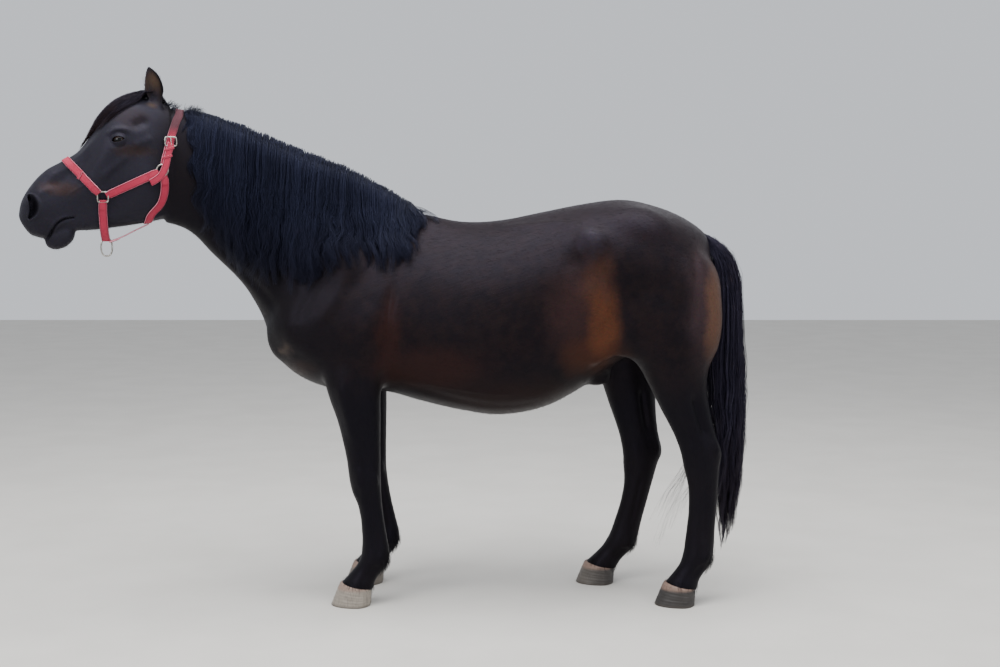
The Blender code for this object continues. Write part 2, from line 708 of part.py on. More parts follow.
def mane(tree):
    """Hair that lies over the crest and hangs straight down the left side of the neck in locks."""
    edge_x, edge_z = np.array(list(MANE_EDGE)), np.array(list(MANE_EDGE.values()))
    down = Vector((0, 0, -1))
    rightward = Vector((0, 1, 0))
    rows, columns = 28, 7
    inner, outer = [], []
    for row in range(rows):
        x = edge_x[0] + (edge_x[-1] - edge_x[0]) * row / (rows - 1)
        middle = float(np.interp(-x, [0.35, 0.60, 1.02], [0.0, -0.034, -0.160]))
        lock = math.cos(2 * math.pi * x / LOCK_PITCH)
        low = float(np.interp(x, edge_x, edge_z)) - 0.012 * lock
        crest, _ = cast(tree, Vector((x, middle, 2.0)), down)
        inner_row, outer_row = [], []
        for column in range(columns):
            if column == 0:
                place, normal = cast(tree, Vector((x, 1.0, crest.z - 0.028)), -rightward)
                depth = 0.005
            elif column == 1:
                place, normal = crest, Vector((0, 0, 1))
                depth = CREST_DEPTH + WITHERS_DEPTH * smooth_step(x, -0.60, -0.42)
            else:
                fall = (column - 1) / (columns - 2)
                height = crest.z - 0.016 - (crest.z - 0.016 - low) * fall
                place, normal = cast(tree, Vector((x, -1.0, height)), rightward)
                depth = MANE_DEPTH * (1 + 0.15 * lock) * (0.7 + 0.6 * math.sin(math.pi * fall))
                depth = depth * (1 - fall**5) + 0.007
            inner_row.append(tuple(place - normal * 0.008))
            outer_row.append(tuple(place + normal * depth))
        inner.append(inner_row)
        outer.append(outer_row)
    return sheet_solid("mane", np.array(inner), np.array(outer))


def forelock(tree):
    """Hair combed forward from between the ears and down the forehead."""
    outline = FORELOCK.values()
    line = [place for place, _, _ in outline]
    spread = [half for _, half, _ in outline]
    depths = [depth for _, _, depth in outline]
    path = curve_through(np.array(line), 2)
    widths = curve_through(np.array(spread), 2)
    depth_line = curve_through(np.array(depths), 2)
    columns = 5
    inner, outer = [], []
    for row, (ahead, above) in enumerate(path):
        behind = path[max(row - 1, 0)]
        before = path[min(row + 1, len(path) - 1)]
        run = Vector((before[0] - behind[0], before[1] - behind[1])).normalized()
        out = head_point(-run.y, run.x) - head_point(0, 0)
        inner_row, outer_row = [], []
        for column in range(columns):
            across = 2 * column / (columns - 1) - 1
            start = head_point(ahead, above, widths[row] * across) + out * 0.3
            place, normal = cast(tree, start, -out)
            depth = depth_line[row] * (1 - 0.6 * across**2)
            inner_row.append(tuple(place - normal * 0.006))
            outer_row.append(tuple(place + normal * depth))
        inner.append(inner_row)
        outer.append(outer_row)
    return sheet_solid("forelock", np.array(inner), np.array(outer))


def evened(path, spacing):
    """The same line with points at even spacing along it."""
    path = np.array(path)
    steps = np.linalg.norm(np.diff(path, axis=0), axis=1)
    run = np.concatenate([[0], np.cumsum(steps)])
    count = max(3, int(round(run[-1] / spacing)) + 1)
    places = np.linspace(0, run[-1], count)
    return np.stack([np.interp(places, run, path[:, axis]) for axis in range(3)], axis=1)


def nearest_hide(tree, point, lift):
    place, normal, _, _ = tree.find_nearest(Vector(point))
    return np.array(place + normal * lift), np.array(normal)


def round_head(tree, centre, up, start, stop, steps=28):
    """Line on the hide round the head: from `centre`, rays turn from the left (0 degrees) up."""
    upward = (head_point(*up) - head_point(0, 0)).normalized()
    middle = head_point(*centre)
    line = []
    for index in range(steps + 1):
        turn = math.radians(start + (stop - start) * index / steps)
        out = head_left() * math.cos(turn) + upward * math.sin(turn)
        place, _ = cast(tree, middle + out * 0.5, -out)
        line.append(tuple(place))
    return line


def smoothed(values, passes):
    values = np.array(values)
    for _ in range(passes):
        values[1:-1] = (values[:-2] + 2 * values[1:-1] + values[2:]) / 4
    return values


def strap(name, tree, path, spacing=0.020, across=None, ring_ends=(True, True)):
    """Flat webbing laid on the hide along a line, or hung free with its width along `across`.

    Where it holds a ring, it is folded round the wire and sewn, so it is narrower and thicker.
    """
    path = evened(path, spacing)
    run = np.concatenate([[0], np.cumsum(np.linalg.norm(np.diff(path, axis=0), axis=1))])
    reaches, directions, folds = [], [], []
    for index, point in enumerate(path):
        along = path[min(index + 1, len(path) - 1)] - path[max(index - 1, 0)]
        to_ring = min(run[index] if ring_ends[0] else 1.0, run[-1] - run[index] if ring_ends[1] else 1.0)
        folds.append(1.0 - smooth_step(to_ring, 0.006, 0.020))
        side = np.cross(along, nearest_hide(tree, point, 0.0)[1]) if across is None else np.array(across)
        directions.append(side / np.linalg.norm(side))
        reaches.append(STRAP_WIDTH / 2 + (FOLD_HALF_WIDTH - STRAP_WIDTH / 2) * folds[-1])
    if across is None:
        directions = smoothed(directions, 2)
    places, normals = [], []
    for index, (point, side) in enumerate(zip(path, directions)):
        lift = STRAP_LIFT + FOLD_LIFT * folds[index]
        edges = [point + side * reaches[index], point - side * reaches[index]]
        if across is None:
            laid = [nearest_hide(tree, edge, lift) for edge in edges]
        else:
            along = path[min(index + 1, len(path) - 1)] - path[max(index - 1, 0)]
            normal = np.cross(along, side)
            laid = [(edge, normal / np.linalg.norm(normal)) for edge in edges]
        places.append([place for place, _ in laid])
        normals.append([normal for _, normal in laid])
    if across is None:
        places, normals = smoothed(places, 1), smoothed(normals, 2)
    rows = []
    for place, normal, fold in zip(places, normals, folds):
        half = STRAP_THICKNESS / 2 + FOLD_EXTRA * fold
        place, normal = np.array(place), np.array(normal)
        outer, inner = place + normal * half, place - normal * half
        rows.append([outer[0], outer[1], inner[1], inner[0]])
    return closed_loft(name, np.array(rows))


def wire_ring(name, middle, across, up, half_wide, half_high, squareness):
    """Ring of round wire in the plane of `across` and `up`; squareness 2 is round."""
    steps, around = 14, 4
    across, up = np.array(across), np.array(up)
    normal = np.cross(across, up)
    line = []
    for index in range(steps):
        turn = 2 * math.pi * index / steps
        cos, sin = math.cos(turn), math.sin(turn)
        power = 2 / squareness
        x = math.copysign(abs(cos) ** power, cos) * half_wide
        y = math.copysign(abs(sin) ** power, sin) * half_high
        line.append(np.array(middle) + across * x + up * y)
    rows = []
    for index in range(steps):
        along = line[(index + 1) % steps] - line[index - 1]
        along = along / np.linalg.norm(along)
        out = np.cross(along, normal)
        rows.append([
            line[index] + (out * math.cos(a) + normal * math.sin(a)) * RING_WIRE
            for a in (2 * math.pi * k / around for k in range(around))
        ])
    grid = np.array(rows)
    faces = grid_faces(steps, around)
    last = steps - 1
    for corner in range(around):
        beside = (corner + 1) % around
        faces.append((last * around + corner, last * around + beside, beside, corner))
    return add_object(name, grid.reshape(-1, 3), faces)


def side_place(tree, place, hand, lift):
    """Point on one side of the head, off the hide, with the hide's normal there."""
    side = head_left() * hand
    point, normal = cast(tree, head_point(*place) + side * 0.4, -side)
    return point + normal * lift, normal


def flat_frame(normal):
    """Level and upward directions in the plane that faces along the normal."""
    level = Vector((0, 0, 1)).cross(normal).normalized()
    return level, normal.cross(level)


def side_line(tree, places, hand, steps=6):
    """Line on one side of the head through (ahead, above) places."""
    return [tuple(side_place(tree, place, hand, 0.0)[0]) for place in curve_through(np.array(places), steps)]


def headcollar(tree):
    """Webbing and rings of the headcollar, each a piece of its own."""
    straps, rings = [], []
    ring_lift = STRAP_LIFT + FOLD_LIFT
    ahead = (head_point(1, 0) - head_point(0, 0)).normalized()
    jaw_line = []
    for side, hand in (("left", 1), ("right", -1)):
        middle, normal = side_place(tree, NOSE_RING, hand, ring_lift)
        level, up = flat_frame(normal)
        rings.append(wire_ring("headcollar_nose_ring_" + side, middle, level, up, 0.0155, 0.0155, 5))
        middle, normal = side_place(tree, SIDE_RING, hand, ring_lift)
        level, up = flat_frame(normal)
        rings.append(wire_ring("headcollar_side_ring_" + side, middle, level, up, 0.0165, 0.0165, 2))
        line = side_line(tree, [(0.189, -0.281), (0.110, -0.246), (0.037, -0.212)], hand)
        straps.append(strap("headcollar_cheek_strap_" + side, tree, line))

        out = head_left() * hand
        down = []
        for above in (-0.297, -0.325, -0.350):
            down.append(tuple(side_place(tree, (0.200, above), hand, ring_lift)[0]))
        down.append(tuple(head_point(0.198, -0.390, hand * 0.034)))
        down.append(tuple(head_point(0.194, -0.417, hand * 0.010)))
        jaw_line.append(down[:1] + [tuple(Vector(place) + out * 0.002) for place in down[1:]])

    # the jaw strap hangs free under the chin and runs through the top of the chin ring
    line = jaw_line[0] + [tuple(head_point(0.1935, -0.4225))] + jaw_line[1][::-1]
    straps.append(strap("headcollar_jaw_strap", tree, curve_through(np.array(line), 5), 0.016, tuple(ahead)))

    # over the nose, from ring to ring
    line = round_head(tree, (0.206, -0.280), (0.104, 0.110), 6, 174)
    straps.append(strap("headcollar_noseband", tree, line))

    # over the poll behind the ears, from side ring to side ring
    line = side_line(tree, [(0.021, -0.195), (0.006, -0.140), (-0.008, -0.090), (-0.024, -0.045)], 1)
    line += round_head(tree, (-0.030, -0.100), (-0.004, 0.100), 50, 130, 14)
    line += side_line(tree, [(-0.024, -0.045), (-0.008, -0.090), (0.006, -0.140), (0.021, -0.195)], -1)
    straps.append(strap("headcollar_crown_strap", tree, line, 0.022))

    # under the throat, from side ring to side ring
    down_side = [(0.022, -0.218), (0.018, -0.260), (0.028, -0.305)]
    line = side_line(tree, down_side, 1, 4)
    line += round_head(tree, (0.046, -0.300), (-0.030, 0.080), -38, -142, 16)
    line += side_line(tree, down_side[::-1], -1, 4)
    straps.append(strap("headcollar_throat_strap", tree, line, 0.024))

    # from the middle of the throat strap forward to the jaw strap
    line = []
    for place in ((0.074, -0.374), (0.110, -0.390), (0.145, -0.408), (0.1805, -0.4225)):
        line.append(head_point(*place))
    line = curve_through(np.array(line), 3)
    level_across = tuple(head_left())
    straps.append(strap("headcollar_link_strap", tree, line, 0.024, level_across, (False, False)))

    middle = head_point(*CHIN_RING)
    rings.append(wire_ring("headcollar_chin_ring", middle, ahead, (0, 0, 1), 0.0165, 0.027, 2.4))
    buckle_place, normal = side_place(tree, BUCKLE, 1, STRAP_LIFT + STRAP_THICKNESS / 2 + RING_WIRE + GAP)
    level, up = flat_frame(normal)
    rings.append(wire_ring("headcollar_buckle", buckle_place, level, up, 0.0185, 0.0150, 6))
    return straps, rings


def box_of(obj):
    corners = np.array([vertex.co for vertex in obj.data.vertices])
    return corners.min(axis=0) - 0.001, corners.max(axis=0) + 0.001


def meeting(obj, solids, cutters):
    """Those of the cutters whose solid may meet the object."""
    low, high = box_of(obj)
    near = []
    for solid, cutter in zip(solids, cutters):
        other_low, other_high = box_of(solid)
        if (low < other_high).all() and (other_low < high).all():
            near.append(cutter)
    return near


def centre_on_floor(objects):
    """Move every mesh so that the whole stands with the middle of its box over the origin."""
    corners = np.array([obj.matrix_world @ vertex.co for obj in objects for vertex in obj.data.vertices])
    low, high = corners.min(axis=0), corners.max(axis=0)
    shift = Matrix.Translation((-(low[0] + high[0]) / 2, -(low[1] + high[1]) / 2, -low[2]))
    for obj in objects:
        obj.data.transform(shift)
    print("shift of the whole:", tuple(round(value, 5) for value in shift.translation))


def build():
    clear_scene()
    coat = surface("dark bay coat", (0.020, 0.014, 0.012), 0.45)
    hair = surface("black hair", (0.010, 0.010, 0.012), 0.5)
    horn = surface("grey hoof horn", (0.28, 0.24, 0.20), 0.5)
    eye_gloss = surface("dark wet eye", (0.010, 0.006, 0.004), 0.05)
    webbing = surface("red webbing", (0.45, 0.03, 0.06), 0.7)
    steel = surface("dull steel", (0.42, 0.41, 0.40), 0.35, 1.0)

    hide = make_hide()
    thin_out(hide)
    tree = BVHTree.FromObject(hide, bpy.context.evaluated_depsgraph_get())
    mane_solid, forelock_solid, tail_solid = mane(tree), forelock(tree), tail()
    straps, rings = headcollar(tree)
    nodes = part_hide(hide)
    around_hide = grown(hide)

    pieces = [(obj, coat) for obj in nodes.values()]
    cut(nodes["head"], mouth_slit())
    ears = []
    for side, hand in (("left", 1), ("right", -1)):
        middle = head_point(EYE_PLACE[0], EYE_PLACE[1], EYE_PLACE[2] * hand)
        eye = ellipsoid("eye_" + side, middle, [EYE_RADIUS] * 3, 0, 12, 8)
        (ahead, above, out), radii, turn = NOSTRIL
        nostril = ellipsoid("nostril", head_point(ahead, above, out * hand), radii, turn, 10, 8)
        cut(nodes["head"], grown(eye, 1.3 * GAP), nostril)
        pieces.append((eye, eye_gloss))
        ears.append(cut(ear("ear_" + side, hand), around_hide))
        pieces.append((ears[-1], coat))
    for side in SIDES:
        pieces.append((hoof("front_hoof_" + side, FRONT_CHAINS[side]), horn))
        pieces.append((hoof("hind_hoof_" + side, HIND_CHAINS[side]), horn))

    around_ears = [grown(obj) for obj in ears]
    around_rings = [grown(obj, 0.0004) for obj in rings]
    around_straps = [grown(obj) for obj in straps]
    for obj in (mane_solid, forelock_solid, tail_solid):
        near = meeting(obj, ears, around_ears) + meeting(obj, straps, around_straps)
        pieces.append((cut(obj, around_hide, *near), hair))
    for index, obj in enumerate(straps):
        near = meeting(obj, rings, around_rings) + meeting(obj, straps[:index], around_straps)
        pieces.append((cut(obj, around_hide, *near), webbing))
    pieces += [(obj, steel) for obj in rings]

    kept = [obj for obj, _ in pieces]
    drop(*[obj for obj in list(bpy.data.objects) if obj not in kept])
    for obj, material in pieces:
        obj.data.materials.clear()
        obj.data.materials.append(material)
        obj.data.shade_smooth()
        obj.data.set_sharp_from_angle(angle=math.radians(50))
    centre_on_floor(kept)
    print("triangles:", sum(len(face.vertices) - 2 for obj in kept for face in obj.data.polygons))


build()
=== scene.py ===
import math

import bmesh
import bpy
import numpy as np
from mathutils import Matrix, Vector
from mathutils.bvhtree import BVHTree


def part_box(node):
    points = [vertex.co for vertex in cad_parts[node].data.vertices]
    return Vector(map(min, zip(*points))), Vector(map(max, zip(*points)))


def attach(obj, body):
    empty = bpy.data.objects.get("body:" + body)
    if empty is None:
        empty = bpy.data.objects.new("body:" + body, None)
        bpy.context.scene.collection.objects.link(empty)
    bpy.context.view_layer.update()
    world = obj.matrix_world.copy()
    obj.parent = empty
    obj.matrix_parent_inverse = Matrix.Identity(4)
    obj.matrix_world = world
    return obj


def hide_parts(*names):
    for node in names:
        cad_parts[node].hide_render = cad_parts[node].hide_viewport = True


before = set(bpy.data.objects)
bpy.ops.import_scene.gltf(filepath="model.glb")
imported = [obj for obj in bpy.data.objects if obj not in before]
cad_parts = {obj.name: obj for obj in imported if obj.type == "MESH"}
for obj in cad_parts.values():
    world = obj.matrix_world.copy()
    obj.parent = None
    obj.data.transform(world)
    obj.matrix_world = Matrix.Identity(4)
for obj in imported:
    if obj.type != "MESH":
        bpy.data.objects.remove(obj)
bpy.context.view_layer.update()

# A dark bay pony in a webbing headcollar. Lengths are metres: the head points to -X, the
# pony's left side is -Y and Z is up. The body's numbers are given before the shift that
# centres the whole on the floor.

head = {
    "poll": np.array([-1.0235, -0.160, 1.577]),
    "yaw": math.radians(15.6),
    "eye": (0.147, -0.117, 0.0855),
    "eyeRadius": 0.021,
}
headAhead = np.array([-math.cos(head["yaw"]), -math.sin(head["yaw"]), 0.0])
headLeft = np.array([math.sin(head["yaw"]), -math.cos(head["yaw"]), 0.0])
upward = np.array([0.0, 0.0, 1.0])


def headPoint(ahead, above, side=0.0):
    return head["poll"] + headAhead * ahead + upward * above + headLeft * side


eyeLow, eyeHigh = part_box("eye_left")
shift = (np.array(eyeLow) + np.array(eyeHigh)) / 2 - headPoint(*head["eye"])
shift[2] = 0.0


def smoothStep(value, low, high):
    share = np.clip((np.asarray(value, float) - low) / (high - low), 0.0, 1.0)
    return share * share * (3 - 2 * share)


def unit(vectors):
    return vectors / np.linalg.norm(vectors, axis=-1, keepdims=True)


def lengthAlong(path):
    return np.concatenate([[0], np.cumsum(np.linalg.norm(np.diff(path, axis=0), axis=1))])


def between(wanted, run, values):
    # rows of values read at these lengths along their path
    return np.stack([np.interp(wanted, run, column) for column in np.asarray(values).T], -1)


def makeMesh(name, points, faces):
    # faces is an array with one row of corners for each face
    faces = np.asarray(faces, np.int32)
    mesh = bpy.data.meshes.new(name)
    mesh.vertices.add(len(points))
    mesh.vertices.foreach_set("co", np.asarray(points, np.float32).ravel())
    mesh.loops.add(faces.size)
    mesh.loops.foreach_set("vertex_index", faces.ravel())
    mesh.polygons.add(len(faces))
    mesh.polygons.foreach_set("loop_start", np.arange(0, faces.size, faces.shape[1], dtype=np.int32))
    mesh.update(calc_edges=True)
    obj = bpy.data.objects.new(name, mesh)
    bpy.context.scene.collection.objects.link(obj)
    return obj


def outward(obj, merge=0.0):
    shell = bmesh.new()
    shell.from_mesh(obj.data)
    if merge:
        bmesh.ops.remove_doubles(shell, verts=shell.verts, dist=merge)
    bmesh.ops.recalc_face_normals(shell, faces=shell.faces)
    shell.to_mesh(obj.data)
    shell.free()
    return obj


def selectOnly(*objects):
    bpy.ops.object.select_all(action="DESELECT")
    for obj in objects:
        obj.select_set(True)
    bpy.context.view_layer.objects.active = objects[0]


def applyModifiers(obj, *modifiers):
    selectOnly(obj)
    for kind, settings in modifiers:
        modifier = obj.modifiers.new(kind.title(), kind)
        for key, value in settings.items():
            setattr(modifier, key, value)
        bpy.ops.object.modifier_apply(modifier=modifier.name)
    return obj


def joinAll(name, objects):
    selectOnly(*objects)
    bpy.ops.object.join()
    objects[0].name = name
    objects[0].data.name = name
    return objects[0]


def pointsOf(mesh, key="co"):
    values = np.empty(len(mesh.vertices) * 3, np.float32)
    mesh.vertices.foreach_get(key, values)
    return values.reshape(-1, 3).astype(float)


def normalsOf(mesh):
    return pointsOf(mesh, "normal")


def cornersOf(mesh):
    # the point at each corner of each face
    values = np.empty(len(mesh.loops), np.int32)
    mesh.loops.foreach_get("vertex_index", values)
    return values


def layUv(mesh, name, places):
    layer = mesh.uv_layers.get(name) or mesh.uv_layers.new(name=name)
    layer.data.foreach_set("uv", np.asarray(places, np.float32).ravel())


def setPoints(mesh, points):
    mesh.vertices.foreach_set("co", np.asarray(points, np.float32).ravel())
    mesh.update()


def weightGroup(obj, name, weights):
    group = obj.vertex_groups.new(name=name)
    weights = np.round(weights, 2)
    for level in np.unique(weights[weights > 0]):
        group.add(np.flatnonzero(weights == level).tolist(), float(level), "REPLACE")
    return name


def curveThrough(points, steps, closed=False):
    # smooth curve through rows of points, this many steps to a span
    points = np.asarray(points, float)
    count = len(points)
    spans = count if closed else count - 1
    place = np.arange(spans * steps + (0 if closed else 1)) / steps
    index = np.minimum(place.astype(int), spans - 1)
    t = (place - index).reshape((-1,) + (1,) * (points.ndim - 1))

    def at(offset):
        wanted = index + offset
        if closed:
            return points[wanted % count]
        inside = points[np.clip(wanted, 0, count - 1)]
        before = (wanted < 0).reshape(t.shape)
        after = (wanted >= count).reshape(t.shape)
        inside = np.where(before, 2 * points[0] - points[1], inside)
        return np.where(after, 2 * points[-1] - points[-2], inside)

    p0, p1, p2, p3 = at(-1), at(0), at(1), at(2)
    curve = 2 * p1 + (p2 - p0) * t + (2 * p0 - 5 * p1 + 4 * p2 - p3) * t**2
    return 0.5 * (curve + (3 * p1 - p0 - 3 * p2 + p3) * t**3)


def gridFaces(rows, columns, wrap=True, start=0):
    last = columns if wrap else columns - 1
    row, column = np.meshgrid(np.arange(rows - 1), np.arange(last), indexing="ij")
    beside = (column + 1) % columns
    here, below = start + row * columns, start + (row + 1) * columns
    return np.stack([here + column, here + beside, below + beside, below + column], -1).reshape(-1, 4)


def closedLoft(name, grid):
    # rings closed at both ends by a fan round a middle point
    rows, columns = grid.shape[:2]
    points = np.concatenate([grid.reshape(-1, 3), grid[0].mean(0)[None], grid[-1].mean(0)[None]])
    first, last = (np.full(columns, rows * columns + end) for end in (0, 1))
    here = np.arange(columns)
    beside = (here + 1) % columns
    lastRow = (rows - 1) * columns
    fans = [np.stack([beside, here, first], 1), np.stack([lastRow + here, lastRow + beside, last], 1)]
    quads = gridFaces(rows, columns)
    triangles = np.concatenate([quads[:, [0, 1, 2]], quads[:, [0, 2, 3]], *fans])
    return outward(makeMesh(name, points, triangles))


# The body's forms: rings through named places, lofted into trunk, neck, head and legs.

levels = (0.08, 0.29, 0.5, 0.71, 0.92)  # heights, top to bottom of a ring, of its half widths

# trunk: (x, z) of the top, (x, z) of the underline, half widths at the five levels
trunk = {
    "front of breast": ((-0.748, 0.925), (-0.726, 0.812), (0.050, 0.082, 0.088, 0.075, 0.045)),
    "breast": ((-0.712, 1.040), (-0.690, 0.744), (0.075, 0.130, 0.150, 0.138, 0.078)),
    "point of shoulder": ((-0.630, 1.150), (-0.600, 0.690), (0.080, 0.158, 0.195, 0.185, 0.110)),
    "shoulder": ((-0.500, 1.230), (-0.485, 0.664), (0.062, 0.150, 0.202, 0.205, 0.122)),
    "withers": ((-0.370, 1.262), (-0.370, 0.664), (0.046, 0.145, 0.208, 0.212, 0.128)),
    "girth": ((-0.250, 1.246), (-0.250, 0.632), (0.068, 0.178, 0.226, 0.220, 0.130)),
    "ribs": ((-0.125, 1.219), (-0.120, 0.603), (0.105, 0.212, 0.252, 0.243, 0.148)),
    "barrel": ((0.000, 1.223), (0.000, 0.589), (0.124, 0.230, 0.266, 0.256, 0.158)),
    "last rib": ((0.130, 1.248), (0.130, 0.610), (0.138, 0.238, 0.266, 0.254, 0.152)),
    "loin": ((0.257, 1.273), (0.245, 0.664), (0.148, 0.234, 0.252, 0.232, 0.130)),
    "hip": ((0.385, 1.289), (0.370, 0.752), (0.152, 0.234, 0.242, 0.208, 0.108)),
    "croup": ((0.480, 1.273), (0.470, 0.810), (0.140, 0.214, 0.232, 0.198, 0.100)),
    "rump": ((0.565, 1.243), (0.570, 0.870), (0.112, 0.184, 0.202, 0.165, 0.080)),
    "seat": ((0.635, 1.203), (0.645, 0.950), (0.066, 0.118, 0.135, 0.108, 0.055)),
    "root of dock": ((0.672, 1.168), (0.680, 1.030), (0.034, 0.048, 0.052, 0.046, 0.028)),
}
# neck: (x, z) of the crest, (x, z) of the throat side, y of the middle, half widths
neck = {
    "root": ((-0.270, 1.230), (-0.560, 0.780), 0.000, (0.045, 0.120, 0.170, 0.175, 0.110)),
    "collar": ((-0.352, 1.296), (-0.728, 0.838), 0.000, (0.036, 0.096, 0.146, 0.164, 0.110)),
    "lower third": ((-0.460, 1.350), (-0.774, 0.921), -0.010, (0.030, 0.078, 0.118, 0.134, 0.088)),
    "middle": ((-0.570, 1.398), (-0.815, 0.996), -0.028, (0.027, 0.066, 0.097, 0.107, 0.072)),
    "upper third": ((-0.676, 1.440), (-0.856, 1.050), -0.055, (0.026, 0.062, 0.089, 0.096, 0.064)),
    "nape": ((-0.778, 1.484), (-0.907, 1.108), -0.090, (0.027, 0.062, 0.085, 0.090, 0.058)),
    "behind the jaw": ((-0.870, 1.526), (-0.957, 1.172), -0.122, (0.031, 0.064, 0.084, 0.084, 0.050)),
    "throat latch": ((-0.940, 1.552), (-1.000, 1.200), -0.145, (0.038, 0.068, 0.084, 0.080, 0.044)),
    "poll": ((-1.015, 1.562), (-1.040, 1.212), -0.160, (0.046, 0.074, 0.084, 0.078, 0.042)),
}
# face: (ahead, above) of the poll for the face line and the jaw line, half widths
face = {
    "back of jaw": ((-0.006, -0.004), (0.004, -0.350), (0.048, 0.076, 0.088, 0.083, 0.046)),
    "ears": ((0.046, 0.014), (0.036, -0.358), (0.056, 0.086, 0.092, 0.091, 0.052)),
    "temple": ((0.100, 0.016), (0.075, -0.366), (0.062, 0.096, 0.092, 0.092, 0.054)),
    "brow": ((0.152, -0.005), (0.115, -0.373), (0.065, 0.102, 0.093, 0.086, 0.052)),
    "eye": ((0.197, -0.050), (0.156, -0.379), (0.064, 0.102, 0.096, 0.078, 0.046)),
    "cheek": ((0.234, -0.102), (0.200, -0.385), (0.052, 0.084, 0.086, 0.065, 0.040)),
    "bridge": ((0.272, -0.149), (0.243, -0.389), (0.038, 0.060, 0.068, 0.052, 0.035)),
    "nose": ((0.321, -0.179), (0.281, -0.390), (0.030, 0.047, 0.054, 0.046, 0.032)),
    "above the nostrils": ((0.366, -0.205), (0.308, -0.392), (0.030, 0.050, 0.056, 0.050, 0.033)),
    "nostrils": ((0.406, -0.246), (0.342, -0.398), (0.034, 0.058, 0.062, 0.052, 0.034)),
    "muzzle": ((0.437, -0.296), (0.374, -0.412), (0.031, 0.052, 0.056, 0.048, 0.032)),
    "tip of lip": ((0.447, -0.340), (0.404, -0.406), (0.018, 0.032, 0.036, 0.032, 0.020)),
}
# legs: (place down the chain of joints, reach ahead, reach behind, half width, backward tip)
frontLeg = (
    (0.00, 0.084, 0.078, 0.056, 0), (0.13, 0.102, 0.088, 0.066, 0), (0.26, 0.105, 0.086, 0.073, 0),
    (0.40, 0.093, 0.075, 0.071, 0), (0.55, 0.075, 0.069, 0.062, 0), (0.71, 0.063, 0.062, 0.051, 0),
    (0.86, 0.055, 0.056, 0.046, 0), (1.00, 0.052, 0.051, 0.049, 0),
    (1.17, 0.047, 0.047, 0.044, 0), (1.32, 0.036, 0.045, 0.036, 0), (1.52, 0.032, 0.045, 0.033, 0),
    (1.74, 0.035, 0.047, 0.034, 0), (1.90, 0.041, 0.049, 0.040, 4), (2.06, 0.045, 0.047, 0.044, 18),
    (2.52, 0.039, 0.040, 0.038, 32), (3.00, 0.053, 0.050, 0.049, 12), (3.25, 0.056, 0.050, 0.052, 8),
)
hindLeg = (
    (0.00, 0.165, 0.160, 0.092, 0), (0.45, 0.182, 0.178, 0.112, 0), (0.95, 0.160, 0.162, 0.110, 0),
    (1.15, 0.117, 0.118, 0.094, 0), (1.35, 0.102, 0.089, 0.076, 0), (1.60, 0.085, 0.074, 0.058, 0),
    (1.82, 0.070, 0.068, 0.047, 0), (2.00, 0.066, 0.070, 0.046, 0), (2.14, 0.055, 0.064, 0.044, 0),
    (2.33, 0.039, 0.060, 0.037, 0), (2.55, 0.036, 0.056, 0.034, 0), (2.76, 0.042, 0.052, 0.036, 0),
    (2.91, 0.047, 0.050, 0.041, 4), (3.05, 0.050, 0.047, 0.044, 16), (3.52, 0.041, 0.041, 0.038, 30),
    (4.00, 0.052, 0.051, 0.048, 12), (4.25, 0.055, 0.051, 0.051, 8),
)
legRoundness = (0.50, 0.90, 1.0, 0.86, 0.50)  # share of the half width at the five levels
# each leg's joints, elbow or hip down to the coronet
legChains = {
    "front_left": ((-0.463, -0.128, 0.830), (-0.4275, -0.130, 0.400), (-0.397, -0.136, 0.150),
                   (-0.452, -0.142, 0.062)),
    "front_right": ((-0.463, 0.128, 0.830), (-0.430, 0.130, 0.397), (-0.383, 0.136, 0.154),
                    (-0.436, 0.142, 0.062)),
    "hind_left": ((0.522, -0.128, 1.030), (0.531, -0.132, 0.812), (0.636, -0.122, 0.487),
                  (0.632, -0.132, 0.152), (0.578, -0.140, 0.062)),
    "hind_right": ((0.500, 0.128, 1.030), (0.412, 0.132, 0.822), (0.474, 0.124, 0.449), (0.412, 0.134, 0.142),
                   (0.342, 0.140, 0.060)),
}
# muscles and bony points that stand out of the lofts: middle, radii, turn about Y in degrees
muscles = {
    "shoulder blade": ((-0.470, 0.104, 1.000), (0.120, 0.074, 0.180), -30),
    "upper arm": ((-0.575, 0.122, 0.850), (0.120, 0.078, 0.085), 32),
    "triceps": ((-0.425, 0.140, 0.850), (0.110, 0.075, 0.120), 0),
    "breast muscle": ((-0.680, 0.062, 0.860), (0.070, 0.066, 0.100), 0),
    "point of hip": ((0.300, 0.176, 1.140), (0.080, 0.060, 0.065), 20),
    "croup muscle": ((0.430, 0.098, 1.150), (0.160, 0.120, 0.118), 14),
    "quarter": ((0.545, 0.114, 0.985), (0.155, 0.122, 0.170), 0),
    "front of thigh": ((0.430, 0.155, 0.930), (0.110, 0.086, 0.150), 24),
    "flank fold": ((0.335, 0.155, 0.860), (0.060, 0.060, 0.110), 34),
    "back of thigh": ((0.622, 0.098, 0.950), (0.080, 0.078, 0.165), 6),
}
# pricked ears, root to tip: (ahead, above, out) of the poll, half width, depth of the cup
earRings = (
    ((0.031, -0.034, 0.044), 0.0185, 0.019), ((0.040, 0.008, 0.050), 0.0235, 0.020),
    ((0.043, 0.046, 0.055), 0.0285, 0.021), ((0.049, 0.084, 0.058), 0.0192, 0.013),
    ((0.059, 0.108, 0.057), 0.0030, 0.0030),
)


def ringOf(top, bottom, side, widths):
    top, bottom, side = np.array(top), np.array(bottom), np.array(side)
    spine = [(top + (bottom - top) * level, side * width) for level, width in zip(levels, widths)]
    near = [point + out for point, out in spine]
    far = [point - out for point, out in spine]
    return np.array([top, *near, bottom, *far[::-1]])


def loft(name, rings, around, along):
    grid = curveThrough(np.array(rings), along)
    grid = np.swapaxes(curveThrough(np.swapaxes(grid, 0, 1), around, closed=True), 0, 1)
    return closedLoft(name, grid)


